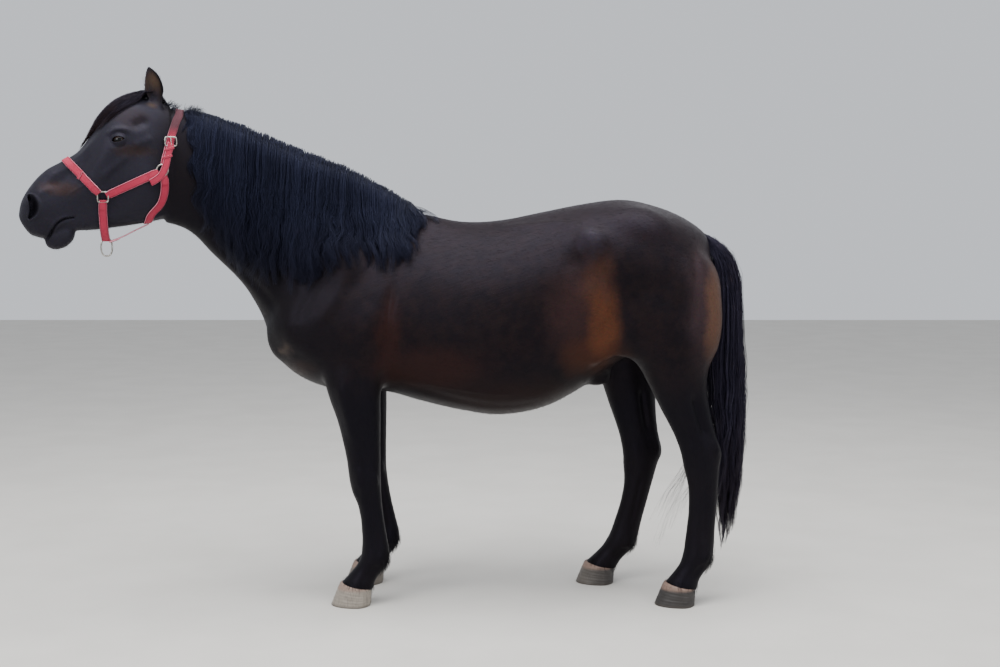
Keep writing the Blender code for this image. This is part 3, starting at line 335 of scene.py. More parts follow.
def chainPlace(chain, place):
    index = min(int(place), len(chain) - 2)
    here, below = np.array(chain[index]), np.array(chain[index + 1])
    return here + (below - here) * (place - index)


def trunkForm(around, along):
    rings = [ringOf((t[0], 0, t[1]), (l[0], 0, l[1]), (0, -1, 0), w) for t, l, w in trunk.values()]
    return loft("trunkForm", rings, around, along)


def neckForm(around, along):
    rings = []
    for index, (crest, throat, middle, widths) in enumerate(neck.values()):
        yaw = head["yaw"] * index / (len(neck) - 1)
        side = (math.sin(yaw), -math.cos(yaw), 0)
        top, bottom = ((x, middle, z) for x, z in (crest, throat))
        rings.append(ringOf(top, bottom, side, widths))
    return loft("neckForm", rings, around, along)


def headForm(around, along):
    rings = [ringOf(headPoint(*top), headPoint(*jaw), headLeft, widths)
             for top, jaw, widths in face.values()]
    # the end of the upper lip is rounded off by two smaller rings
    last, middle = rings[-1], rings[-1].mean(0)
    ahead = unit(middle - rings[-2].mean(0))
    for shrink, further in ((0.74, 0.0055), (0.36, 0.0085)):
        rings.append(middle + (last - middle) * shrink + ahead * further)
    return loft("headForm", rings, around, along)


def legForm(name, chain, stations):
    rings = []
    for place, ahead, behind, width, tip in stations:
        middle = chainPlace(chain, place)
        back = np.array([math.cos(math.radians(tip)), 0, -math.sin(math.radians(tip))])
        widths = [width * share for share in legRoundness]
        rings.append(ringOf(middle - back * ahead, middle + back * behind, (0, -1, 0), widths))
    return loft(name, rings, 5, 6)


def ball(name, middle, radii, turn=0.0, segments=48, rings=32):
    # a sphere primitive at its size and place, its place then kept in its mesh
    bpy.ops.mesh.primitive_uv_sphere_add(segments=segments, ring_count=rings, location=tuple(middle))
    obj = bpy.context.object
    obj.name = name
    obj.rotation_euler = (0, math.radians(turn), 0)
    obj.scale = radii
    bpy.ops.object.transform_apply(location=True, rotation=True, scale=True)
    return obj


def earForm(hand):
    # crescent rings from a full base to the tip, open to the side
    facing = unit(headPoint(0.36, 0.10, hand * 0.93) - headPoint(0, 0))
    across = unit(np.cross(facing, upward))
    line = curveThrough([place for place, _, _ in earRings], 8)
    sizes = curveThrough([(width, depth) for _, width, depth in earRings], 8)
    turns = np.linspace(0, math.pi, 17)[:, None]
    cos, sin = np.cos(turns), np.sin(turns)
    rows = []
    for row, ((ahead, above, side), (width, depth)) in enumerate(zip(line, sizes)):
        # the shell thins towards the tip, and its cup deepens over the lowest third
        share = row / (len(line) - 1)
        hollow = min(1.0, share / 0.30)
        thick = 0.0060 * (1 - 0.45 * share)
        centre = headPoint(ahead, above, hand * side)
        outer = centre + across * width * cos - facing * depth * sin
        full = centre + across * width * cos * 0.9 + facing * depth * 0.45 * sin
        cupped = centre + across * (width - thick * 0.5) * cos * 0.97
        cupped = cupped - facing * max(depth - thick, 0.0006) * sin
        inner = full + (cupped - full) * hollow
        rows.append(np.concatenate([outer, inner[::-1][1:-1]]))
    return closedLoft("earForm", np.array(rows))


# The skin: the body and the finer head are fused apart, then sewn together round the neck.
skin = {
    "bodyGrain": 0.0062,
    "headGrain": 0.0024,
    "seamX": -0.985,
    "coatDepth": 0.0028,
    "faceCoatDepth": 0.0012,
    "bodyTriangles": 98000,
    "headTriangles": 88000,
    # passes of smoothing that suit a 7 mm grain, carried over to each grain
    "baseGrain": 0.007,
    "closePasses": 6,
    "broadPasses": 70,
}


def smoothPasses(grain, passes):
    return {"factor": 0.5, "iterations": max(1, round(passes * (skin["baseGrain"] / grain) ** 2))}


def fuse(name, forms, grain):
    return applyModifiers(joinAll(name, forms), ("REMESH", {"mode": "VOXEL", "voxel_size": grain}))


def cutAt(obj, keepAhead):
    # keep the side of the seam plane towards the head, or the other side
    shell = bmesh.new()
    shell.from_mesh(obj.data)
    plane = {"plane_co": (skin["seamX"], 0, 0), "plane_no": (1, 0, 0)}
    everything = shell.verts[:] + shell.edges[:] + shell.faces[:]
    bmesh.ops.bisect_plane(
        shell, geom=everything, clear_outer=keepAhead, clear_inner=not keepAhead, **plane)
    shell.to_mesh(obj.data)
    shell.free()


def makeBodySkin():
    forms = [trunkForm(6, 10), neckForm(6, 10), headForm(4, 5)]
    for name, chain in legChains.items():
        forms.append(legForm(name, chain, frontLeg if name.startswith("front") else hindLeg))
    for name, (middle, radii, turn) in muscles.items():
        for hand in (-1, 1):
            # the neck bends to the left, so the off shoulder blade lies flatter under it
            out = middle[1] * (0.80 if hand == 1 and name == "shoulder blade" else 1.0)
            forms.append(ball(name, (middle[0], out * hand, middle[2]), radii, turn))
    forms.append(ball("sheath", (0.300, 0.0, 0.730), (0.068, 0.040, 0.048), 18))
    grain = skin["bodyGrain"]
    body = fuse("body", forms, grain)
    applyModifiers(body, ("SMOOTH", smoothPasses(grain, skin["closePasses"])))
    # the trunk is smoothed broadly, the legs and the head are not
    x, _, z = pointsOf(body.data).T
    broad = weightGroup(body, "broad", np.minimum(smoothStep(z, 0.60, 0.80), smoothStep(x, -0.98, -0.86)))
    settings = {**smoothPasses(grain, skin["broadPasses"]), "vertex_group": broad}
    return applyModifiers(body, ("SMOOTH", settings))


def makeHeadSkin():
    forms = [neckForm(16, 24), headForm(16, 20), earForm(1), earForm(-1)]
    forms.append(ball("lowerLip", headPoint(0.328, -0.408), (0.050, 0.036, 0.035), -30))
    obj = fuse("headSkin", forms, skin["headGrain"])
    # the thin ears are smoothed very little
    x, _, z = pointsOf(obj.data).T
    earShare = smoothStep(z - head["poll"][2], 0.012, 0.034) * smoothStep(x, -1.16, -1.12)
    close = weightGroup(obj, "close", 1.0 - 0.93 * earShare)
    settings = {**smoothPasses(skin["headGrain"], skin["closePasses"]), "vertex_group": close}
    return applyModifiers(obj, ("SMOOTH", settings))


# Lines along which the skin stands up (+) or sinks in (-), in metres.

# on both sides of the body: (x, z) places, half width, height
bodyLines = {
    "front of shoulder": (((-0.49, 1.16), (-0.57, 1.02), (-0.63, 0.90)), 0.022, -0.006),
    "ridge of the blade": (((-0.42, 1.15), (-0.50, 1.00), (-0.57, 0.89)), 0.024, 0.005),
    "behind the triceps": (((-0.335, 1.02), (-0.348, 0.93), (-0.352, 0.85), (-0.368, 0.77)), 0.015, -0.009),
    "triceps": (((-0.40, 0.92), (-0.41, 0.84)), 0.035, 0.006),
    "elbow": (((-0.385, 0.755), (-0.395, 0.735)), 0.020, 0.006),
    "front of forearm": (((-0.500, 0.72), (-0.478, 0.62), (-0.455, 0.52)), 0.022, 0.005),
    "point of shoulder": (((-0.655, 0.885), (-0.65, 0.86)), 0.034, 0.006),
    "neck groove": (((-0.93, 1.262), (-0.86, 1.135), (-0.79, 1.035), (-0.70, 0.93)), 0.019, -0.006),
    "flank hollow": (((0.245, 1.085), (0.262, 1.050)), 0.046, -0.011),
    "point of hip": (((0.283, 1.172), (0.290, 1.150)), 0.026, 0.009),
    "edge of loin": (((0.00, 1.195), (0.15, 1.210), (0.26, 1.200)), 0.020, 0.004),
    "front of thigh": (((0.305, 1.10), (0.335, 1.01), (0.362, 0.92), (0.372, 0.85)), 0.019, -0.008),
    "behind the quarter": (((0.600, 1.12), (0.602, 1.00), (0.585, 0.88)), 0.017, -0.006),
    "between thigh muscles": (((0.520, 1.07), (0.500, 0.94), (0.492, 0.80)), 0.020, -0.003),
    "stifle": (((0.425, 0.875), (0.415, 0.855)), 0.034, 0.006),
    "belly vein": (((-0.26, 0.715), (-0.10, 0.692), (0.05, 0.680)), 0.010, 0.002),
    "belly edge": (((-0.30, 0.700), (-0.10, 0.650), (0.12, 0.650)), 0.022, -0.003),
}
for rib in range(6):
    bodyLines[f"rib {rib}"] = (((0.18 - 0.055 * rib, 1.10), (0.165 - 0.055 * rib, 0.85)), 0.013, 0.0020)

# on the outer and inner side of a leg: (place down the chain, how far behind it), half width, height
frontLegLines = {
    "tendon groove": (((1.22, 0.010), (1.55, 0.012), (1.88, 0.010)), 0.0085, -0.0042),
    "knee": (((0.94, -0.012), (1.04, -0.010)), 0.017, 0.0030),
    "back of knee": (((0.97, 0.034), (1.02, 0.036)), 0.010, 0.0045),
    "under the knee": (((1.12, -0.020), (1.16, -0.024)), 0.012, -0.0025),
    "sesamoid": (((1.98, 0.020), (2.08, 0.020)), 0.012, 0.0035),
    "pastern": (((2.30, 0.018), (2.55, 0.016)), 0.012, -0.0040),
    "forearm groove": (((0.55, 0.012), (0.84, 0.014)), 0.012, -0.0035),
}
hindLegLines = {
    "string groove": (((1.42, 0.030), (1.62, 0.028), (1.84, 0.030)), 0.0125, -0.0110),
    "gaskin": (((1.15, -0.020), (1.42, -0.022)), 0.030, 0.0050),
    "point of hock": (((1.90, 0.052), (1.98, 0.052)), 0.012, 0.0050),
    "hock": (((1.98, -0.022), (2.06, -0.016)), 0.017, 0.0035),
    "under the hock": (((2.14, -0.026), (2.22, -0.024)), 0.012, -0.0030),
    "tendon groove": (((2.25, 0.014), (2.50, 0.014), (2.84, 0.012)), 0.0090, -0.0048),
    "sesamoid": (((2.98, 0.022), (3.08, 0.020)), 0.012, 0.0035),
    "pastern": (((3.30, 0.018), (3.55, 0.016)), 0.012, -0.0040),
}
# on both sides of the head: (ahead, above) of the poll, half width, height
headLines = {
    "facial crest": (((0.120, -0.160), (0.150, -0.183), (0.178, -0.208), (0.204, -0.236)), 0.0120, 0.0046),
    "under the crest": (((0.150, -0.206), (0.185, -0.236), (0.205, -0.262)), 0.012, -0.0028),
    "front of jaw muscle": (((0.172, -0.232), (0.180, -0.268), (0.168, -0.310), (0.148, -0.340)),
                            0.013, -0.0036),
    "jaw muscle": (((0.105, -0.210), (0.095, -0.255), (0.090, -0.295)), 0.040, 0.0050),
    "jaw edge": (((0.015, -0.335), (0.060, -0.352), (0.120, -0.360)), 0.010, 0.0030),
    "temple hollow": (((0.096, -0.070), (0.080, -0.062)), 0.015, -0.0080),
    "cheek bone arch": (((0.112, -0.134), (0.082, -0.124), (0.050, -0.108)), 0.0120, 0.0036),
    "under the arch": (((0.100, -0.160), (0.062, -0.142)), 0.014, -0.0025),
    "brow": (((0.187, -0.105), (0.168, -0.089), (0.142, -0.084), (0.114, -0.091)), 0.0095, 0.0050),
    "edge of nasal bone": (((0.215, -0.112), (0.262, -0.166), (0.315, -0.205), (0.362, -0.232)),
                           0.0130, 0.0032),
    "beside the nose": (((0.228, -0.160), (0.282, -0.212), (0.330, -0.246), (0.362, -0.262)), 0.018, -0.0042),
    "false nostril": (((0.352, -0.262), (0.380, -0.274)), 0.012, 0.0034),
    "face vein": (((0.236, -0.212), (0.216, -0.262), (0.196, -0.322), (0.176, -0.352)), 0.0046, 0.0015),
    "face vein branch": (((0.222, -0.244), (0.262, -0.256), (0.300, -0.280)), 0.0040, 0.0012),
    "above the upper lip": (((0.372, -0.352), (0.352, -0.368), (0.338, -0.386)), 0.010, 0.0030),
    "mouth corner fold": (((0.284, -0.336), (0.278, -0.352), (0.284, -0.370)), 0.0045, -0.0016),
    "behind the corner": (((0.270, -0.330), (0.262, -0.352), (0.268, -0.376)), 0.0045, -0.0012),
    "lip": (((0.300, -0.344), (0.322, -0.350), (0.343, -0.364), (0.358, -0.386), (0.366, -0.406)),
            0.0045, 0.0022),
    "lower lip": (((0.296, -0.362), (0.318, -0.366), (0.334, -0.380), (0.346, -0.402)), 0.0050, 0.0016),
    "chin hollow": (((0.262, -0.390), (0.280, -0.392)), 0.012, -0.0040),
    "muzzle crease": (((0.380, -0.345), (0.366, -0.360), (0.352, -0.374)), 0.0035, -0.0012),
}
mouth = {
    "line": ((0.288, -0.350), (0.303, -0.3515), (0.316, -0.355), (0.331, -0.365), (0.343, -0.378),
             (0.352, -0.393), (0.361, -0.408), (0.366, -0.418)),
    "halfWidth": 0.0030,
    "depth": 0.0085,
}
nostril = {
    "line": ((0.413, -0.286), (0.406, -0.295), (0.401, -0.308), (0.400, -0.322), (0.404, -0.337),
             (0.412, -0.349)),
    "halfWidths": (0.0062, 0.0110, 0.0138, 0.0136, 0.0102, 0.0048),
    "depth": 0.025,
    "rim": 0.0028,
    "near": 0.062,
    "nearDepth": 0.030,
}
eyelids = {
    "toFront": 0.34,
    "toSky": 0.05,
    "slope": -10,
    "halfLength": 0.0192,
    "upper": 0.0098,
    "lower": 0.0074,
    "lidRadius": 0.0238,
    "rim": 0.0009,
    "behind": 0.0045,
    "reach": (0.0165, 0.032),
    "creases": ((0.0058, 0.0009), (0.0112, 0.0008), (0.0160, 0.0006)),
}


def treeOf(mesh):
    return BVHTree.FromPolygons([v.co for v in mesh.vertices], [p.vertices for p in mesh.polygons])


def sideCast(tree, start, outside, reach=0.4):
    # from outside towards a point in the body: (place, normal) on the skin, or None
    outside = Vector(outside)
    place, normal, _, _ = tree.ray_cast(Vector(start) + outside * reach, -outside)
    return None if place is None else (np.array(place), np.array(normal))


swellReach = 2.6  # half widths from its line at which a rise ends


def swell(points, line, halfWidth, height, fadeStart=True, fadeEnd=True):
    # how much each point rises for one line through places on the skin
    if len(line) < 2:
        return 0.0
    line = curveThrough(line, 6)
    reach = swellReach * halfWidth
    near = np.flatnonzero(((points > line.min(0) - reach) & (points < line.max(0) + reach)).all(1))
    best, passed = np.full(len(near), 1e9), np.zeros(len(near))
    for index, (start, end) in enumerate(zip(line[:-1], line[1:])):
        step = end - start
        share = np.clip((points[near] - start) @ step / (step @ step), 0, 1)
        offset = ((points[near] - start - share[:, None] * step)**2).sum(1)
        passed = np.where(offset < best, (index + share) / (len(line) - 1), passed)
        best = np.minimum(best, offset)
    # a long line fades towards its ends
    fade = np.ones(len(near))
    if np.linalg.norm(line[-1] - line[0]) > 3 * halfWidth:
        fade = np.minimum(fade, 0.2 + 5 * passed) if fadeStart else fade
        fade = np.minimum(fade, 0.2 + 5 * (1 - passed)) if fadeEnd else fade
    rise = np.zeros(len(points))
    rise[near] = height * fade * np.exp(-best / halfWidth**2)
    return rise


def laidOn(tree, starts, outside, reach=0.4):
    found = [sideCast(tree, start, outside, reach) for start in starts]
    return [hit[0] for hit in found if hit]


def sinkIntoCoat(obj):
    # the skin lies inside the solids by the coat's depth: least on face and feet, none on the ears
    points = pointsOf(obj.data)
    share = np.minimum(smoothStep(points[:, 0], -0.97, -0.80), smoothStep(points[:, 2], 0.30, 0.60))
    depth = skin["faceCoatDepth"] + (skin["coatDepth"] - skin["faceCoatDepth"]) * share
    depth *= 1 - smoothStep(points[:, 2], head["poll"][2] + 0.012, head["poll"][2] + 0.034)
    setPoints(obj.data, points - normalsOf(obj.data) * depth[:, None])


def shapeBody(body):
    sinkIntoCoat(body)
    tree, points = treeOf(body.data), pointsOf(body.data)
    rise = np.zeros(len(points))
    for hand in (-1, 1):
        for places, halfWidth, height in bodyLines.values():
            line = laidOn(tree, [(x, 0, z) for x, z in places], (0, hand, 0))
            rise += swell(points, line, halfWidth, height)
    for name, chain in legChains.items():
        lines = frontLegLines if name.startswith("front") else hindLegLines
        for places, halfWidth, height in lines.values():
            starts = [chainPlace(chain, place) + np.array([behind, 0, 0]) for place, behind in places]
            for hand in (-1, 1):
                # a short reach keeps each line on its own leg
                line = laidOn(tree, starts, (0, hand, 0), 0.085)
                rise += swell(points, line, halfWidth, height)
    setPoints(body.data, points + normalsOf(body.data) * rise[:, None])


def finer(obj, middles, radius, cuts):
    # split the faces round these places into smaller ones
    shell = bmesh.new()
    shell.from_mesh(obj.data)
    near = [edge for edge in shell.edges
            if any((edge.verts[0].co - Vector(middle)).length < radius for middle in middles)]
    bmesh.ops.subdivide_edges(shell, edges=near, cuts=cuts, use_grid_fill=True, smooth=0.0)
    bmesh.ops.triangulate(shell, faces=[face for face in shell.faces if len(face.verts) > 4])
    shell.to_mesh(obj.data)
    shell.free()


def eyeAxes(hand):
    # middle of the eyeball, and its outward, forward and upward directions
    out = unit(headLeft * hand + headAhead * eyelids["toFront"] + upward * eyelids["toSky"])
    level = unit(headAhead - out * (headAhead @ out))
    up = np.cross(out, level) * hand
    up *= math.copysign(1, up[2])
    slope = math.radians(eyelids["slope"])
    forward = level * math.cos(slope) + up * math.sin(slope)
    raised = up * math.cos(slope) - level * math.sin(slope)
    ahead, above, side = head["eye"]
    return headPoint(ahead, above, side * hand), out, forward, raised


def calm(obj, middle, radius, passes):
    # a little smoothing round one place, to round off steep edges
    distance = np.linalg.norm(pointsOf(obj.data) - middle, axis=1)
    group = weightGroup(obj, "calm", 1 - smoothStep(distance, radius * 0.6, radius))
    applyModifiers(obj, ("SMOOTH", {"factor": 0.5, "iterations": passes, "vertex_group": group}))
    obj.vertex_groups.clear()


def shapeEyelids(obj):
    for hand in (1, -1):
        middle, out, forward, raised = eyeAxes(hand)
        points = pointsOf(obj.data)
        offset = points - middle
        depth, u, v = offset @ out, offset @ forward, offset @ raised
        radius = np.hypot(u, v)
        near = np.flatnonzero((radius < 0.045) & (depth > -0.012))
        depth, u, v, radius = depth[near], u[near], v[near], radius[near]
        over = np.sqrt(np.maximum(eyelids["lidRadius"]**2 - radius**2, 0))
        low, high = eyelids["reach"]
        floorDepth = depth - 0.0035
        over = (over + floorDepth + np.sqrt((over - floorDepth)**2 + 0.005**2)) / 2
        lid = depth + (over - depth) * (1 - smoothStep(radius, low, high))
        along = np.sqrt(np.clip(1 - (u / eyelids["halfLength"])**2, 0, 1))
        # the upper lid is fullest towards the front of the eye
        edge = np.where(v > 0, eyelids["upper"] * (1 + 0.20 * u / eyelids["halfLength"]), eyelids["lower"])
        outside = np.abs(v) - edge * along**1.45
        beyond = np.abs(u) - eyelids["halfLength"]
        outside = np.where(beyond > 0, np.hypot(beyond, v), outside)
        lid += eyelids["rim"] * np.exp(-((outside - 0.0020) / 0.0016)**2)
        for distance, height in eyelids["creases"]:
            # how far outside an ellipse that lies this far round the opening; deeper above the eye
            size = np.hypot(u / (eyelids["halfLength"] + distance), v / (eyelids["upper"] + distance))
            crease = np.exp(-(radius * (1 - 1 / size) / 0.0017)**2)
            lid -= height * (0.35 + 0.65 * smoothStep(v, -0.004, 0.006)) * crease
        ball = np.sqrt(np.maximum((head["eyeRadius"] - eyelids["behind"])**2 - radius**2, 0.005**2))
        inside = 1 - smoothStep(outside, -0.0013, 0.0005)
        newDepth = lid + (np.minimum(ball, lid) - lid) * inside
        points[near] += out * (newDepth - depth)[:, None]
        setPoints(obj.data, points)
        calm(obj, middle, 0.030, 3)


def shapeNostrils(obj, tree):
    widths = curveThrough(np.array(nostril["halfWidths"])[:, None], 6)[:, 0]
    for hand in (1, -1):
        side = headLeft * hand
        line, normals = zip(*(sideCast(tree, headPoint(*place), side) for place in nostril["line"]))
        normal = unit(np.mean(normals, 0))
        line = curveThrough(line, 6)
        points = pointsOf(obj.data)
        flat = points - (points @ normal)[:, None] * normal
        flatLine = line - (line @ normal)[:, None] * normal
        offset = points - line.mean(0)
        near = np.flatnonzero((np.linalg.norm(offset, axis=1) < nostril["near"])
                              & (np.abs(offset @ normal) < nostril["nearDepth"]))
        # 0 on the middle line of the opening, 1 at its edge
        ratio = (np.linalg.norm(flat[near, None] - flatLine[None], axis=2) / widths[None]).min(1)
        rise = nostril["rim"] * np.exp(-((ratio - 1.38) / 0.34)**2)
        rise -= nostril["depth"] * (1 - smoothStep(ratio, 0.30, 1.10))
        lift = np.where((rise > 0)[:, None], normal, unit(normal * 0.75 - headAhead * 0.45))
        points[near] += lift * rise[:, None]
        setPoints(obj.data, points)
        calm(obj, line.mean(0), 0.045, 4)


def shapeHead(obj):
    sinkIntoCoat(obj)
    finer(obj, [eyeAxes(hand)[0] for hand in (1, -1)], 0.034, 3)
    tree = treeOf(obj.data)
    for places, radius, cuts in ((mouth["line"][:-1], 0.011, 1), (nostril["line"], 0.017, 2)):
        spots = [sideCast(tree, headPoint(*place), headLeft * hand)[0]
                 for place in places for hand in (1, -1)]
        finer(obj, spots, radius, cuts)
    tree, points = treeOf(obj.data), pointsOf(obj.data)
    rise = np.zeros(len(points))
    for hand in (1, -1):
        for places, halfWidth, height in headLines.values():
            line = laidOn(tree, [headPoint(*place) for place in places], headLeft * hand)
            rise += swell(points, line, halfWidth, height)
        line = laidOn(tree, [headPoint(*place) for place in mouth["line"]], headLeft * hand)
        rise += swell(points, line, mouth["halfWidth"], -mouth["depth"], False)
    setPoints(obj.data, points + normalsOf(obj.data) * rise[:, None])
    shapeNostrils(obj, treeOf(obj.data))
    shapeEyelids(obj)


def thin(obj, triangles):
    obj.data.calc_loop_triangles()
    ratio = min(1.0, triangles / len(obj.data.loop_triangles))
    return applyModifiers(obj, ("DECIMATE", {"ratio": ratio, "use_collapse_triangulate": True}))


def openRim(mesh):
    # corners of the open edge, in order round the neck, with their angles
    edges = np.array([edge.vertices[:] for edge in mesh.edges])
    used = np.empty(len(mesh.loops), np.int32)
    mesh.loops.foreach_get("edge_index", used)
    rim = np.unique(edges[np.bincount(used, minlength=len(edges)) == 1])
    offset = pointsOf(mesh)[rim]
    offset = offset - (offset.min(0) + offset.max(0)) / 2
    angles = np.arctan2(offset[:, 2], offset[:, 1])
    order = np.argsort(angles)
    return rim[order], angles[order]


def sewn(name, first, second):
    # join two skins cut at the same plane by a band of triangles between their open edges
    (a, anglesA), (b, anglesB) = openRim(first.data), openRim(second.data)
    b = b + len(first.data.vertices)
    joined = joinAll(name, [first, second])
    shell = bmesh.new()
    shell.from_mesh(joined.data)
    shell.verts.ensure_lookup_table()
    i, j = 0, 0
    while i < len(a) or j < len(b):
        nextA = anglesA[i + 1] if i + 1 < len(a) else 4.0 + i - len(a)
        nextB = anglesB[j + 1] if j + 1 < len(b) else 4.0 + j - len(b)
        if j >= len(b) or (i < len(a) and nextA <= nextB):
            corners, i = (a[i % len(a)], a[(i + 1) % len(a)], b[j % len(b)]), i + 1
        else:
            corners, j = (b[j % len(b)], b[(j + 1) % len(b)], a[i % len(a)]), j + 1
        shell.faces.new([shell.verts[int(corner)] for corner in corners])
    near = [vert for vert in shell.verts if abs(vert.co.x - skin["seamX"]) < 0.004]
    bmesh.ops.remove_doubles(shell, verts=near, dist=0.0028)
    for _ in range(3):
        # doubled-up slivers go, then whatever they leave open is filled
        fins = [face for face in shell.faces if any(len(edge.link_faces) > 2 for edge in face.edges)
                and any(edge.is_boundary for edge in face.edges)]
        crowded = [face for edge in shell.edges if len(edge.link_faces) > 2 for face in edge.link_faces]
        bmesh.ops.delete(shell, geom=list(set(fins or crowded)), context="FACES")
        bmesh.ops.holes_fill(shell, edges=[edge for edge in shell.edges if edge.is_boundary], sides=30)
    loose = [vert for vert in shell.verts if not vert.link_faces]
    bmesh.ops.delete(shell, geom=loose, context="VERTS")
    bmesh.ops.triangulate(shell, faces=[face for face in shell.faces if len(face.verts) > 3])
    shell.to_mesh(joined.data)
    shell.free()
    outward(joined, 0.0001)
    distance = np.abs(pointsOf(joined.data)[:, 0] - skin["seamX"])
    group = weightGroup(joined, "seam", 1 - smoothStep(distance, 0.006, 0.024))
    return applyModifiers(joined, ("SMOOTH", {"factor": 0.5, "iterations": 24, "vertex_group": group}))


def shadeSmooth(obj):
    obj.data.polygons.foreach_set("use_smooth", np.ones(len(obj.data.polygons), bool))
    obj.data.update()


def settled(obj):
    # the finished piece keeps its place in its mesh, moved to stand over the frame's own origin
    obj.vertex_groups.clear()
    setPoints(obj.data, pointsOf(obj.data) + shift)
    return obj


print("skin: fusing the forms")
bodySkin = makeBodySkin()
headSkin = makeHeadSkin()
cutAt(bodySkin, False)
cutAt(headSkin, True)
print("skin: shaping", len(bodySkin.data.polygons), "and", len(headSkin.data.polygons), "faces")
shapeBody(bodySkin)
shapeHead(headSkin)
thin(bodySkin, skin["bodyTriangles"])
thin(headSkin, skin["headTriangles"])
hide = sewn("pony_skin", bodySkin, headSkin)
hideTree = treeOf(hide.data)
print("skin:", len(hide.data.polygons), "triangles")

# the unwrap of the skin's own shape
selectOnly(hide)
hide.data.uv_layers.new(name="OFBake")
bpy.ops.object.mode_set(mode="EDIT")
bpy.ops.mesh.select_all(action="SELECT")
bpy.ops.uv.smart_project(angle_limit=1.15, island_margin=0.001)
bpy.ops.object.mode_set(mode="OBJECT")


eyeball = {
    "cornea": 0.045,  # how far the clear front bulges, as a share of the radius
    "flatness": 0.985,
    "uvRadius": 0.24,  # the front half lies in a disc of this radius on its UV map
    "uvMiddle": 0.26,
}


def makeEye(name, hand):
    # a globe with the clear cornea's bulge in front; its UV map lies flat on the front of the eye
    middle, out, forward, raised = eyeAxes(hand)
    obj = ball(name, (0, 0, 0), (1, 1, 1))
    globe = pointsOf(obj.data)
    bulge = 1 + eyeball["cornea"] * smoothStep(globe[:, 2:], 0.72, 0.96)
    local = globe * (head["eyeRadius"] - 0.0002) * bulge * np.array([1.0, 1.0, eyeball["flatness"]])
    setPoints(obj.data, middle + forward * local[:, :1] + raised * local[:, 1:2] + out * local[:, 2:])
    if np.dot(np.cross(forward, raised), out) < 0:
        obj.data.flip_normals()
    corners = globe[cornersOf(obj.data)]
    flat = corners[:, :2] * eyeball["uvRadius"] + eyeball["uvMiddle"]
    flat[corners[:, 2] < 0] += 2 * eyeball["uvRadius"]
    layUv(obj.data, "UVMap", flat)
    return obj


print("eyes and hooves")
eyes = joinAll("pony_eyes", [makeEye("leftEye", 1), makeEye("rightEye", -1)])


hoof = {
    "toe": (0.056, 0.086),  # reach from the middle, at the coronet and at the ground
    "heel": (0.050, 0.046),
    "halfWidth": (0.0525, 0.060),
    "slope": 12,  # degrees that the coronet falls towards the heel
    "coronetRound": 0.0028,
    "groundRound": 0.0022,
    "ripples": ((0.00035, 46, 0), (0.00025, 27, 1)),  # growth rings: height, how many, start
    "around": 96,
    "rows": 26,
}


def makeHoof(name, chain):
    # wall from the coronet down to a slightly rounded ground edge, with faint growth rings
    middle = np.array(chain[-1])
    turns = np.linspace(0, 2 * math.pi, hoof["around"], endpoint=False)
    ahead, side = np.cos(turns), np.sin(turns)
    toeward = ahead > 0
    # the heels are blunter than the toe, with a shallow cleft between the two bulbs
    cleft = 1 - 0.10 * np.exp(-((turns - math.pi) / 0.22)**2)
    blunt = np.where(toeward, 1.0, 0.92 * cleft)
    narrow = np.where(toeward, 1.0, 1.0 - 0.10 * ahead**2)
    topReach, soleReach = (np.where(toeward, toe, heel) for toe, heel in zip(hoof["toe"], hoof["heel"]))
    topHalf, soleHalf = hoof["halfWidth"]
    rows = []
    for share in (0.0, 0.02, 0.05, *np.linspace(0.09, 0.965, hoof["rows"]), 0.985, 0.996, 1.0):
        x = -(topReach + (soleReach - topReach) * share) * ahead * blunt
        y = (topHalf + (soleHalf - topHalf) * share) * side * narrow
        z = (middle[2] - math.tan(math.radians(hoof["slope"])) * x - 0.0003) * (1 - share)
        ripple = sum(height * math.sin(share * count + start) for height, count, start in hoof["ripples"])
        inset = hoof["coronetRound"] * (1 - smoothStep(share, 0.0, 0.08))
        inset += hoof["groundRound"] * smoothStep(share, 0.975, 1.0)
        scale = 1 + (ripple - inset) / np.hypot(x, y)
        rows.append(np.stack([middle[0] + x * scale, middle[1] + y * scale, z], 1))
    return closedLoft(name, np.array(rows))


hooves = joinAll("pony_hooves", [makeHoof(name, chain) for name, chain in legChains.items()])


seeded = np.random.default_rng(7)
patchSize = 0.003  # of a strand on its UV map


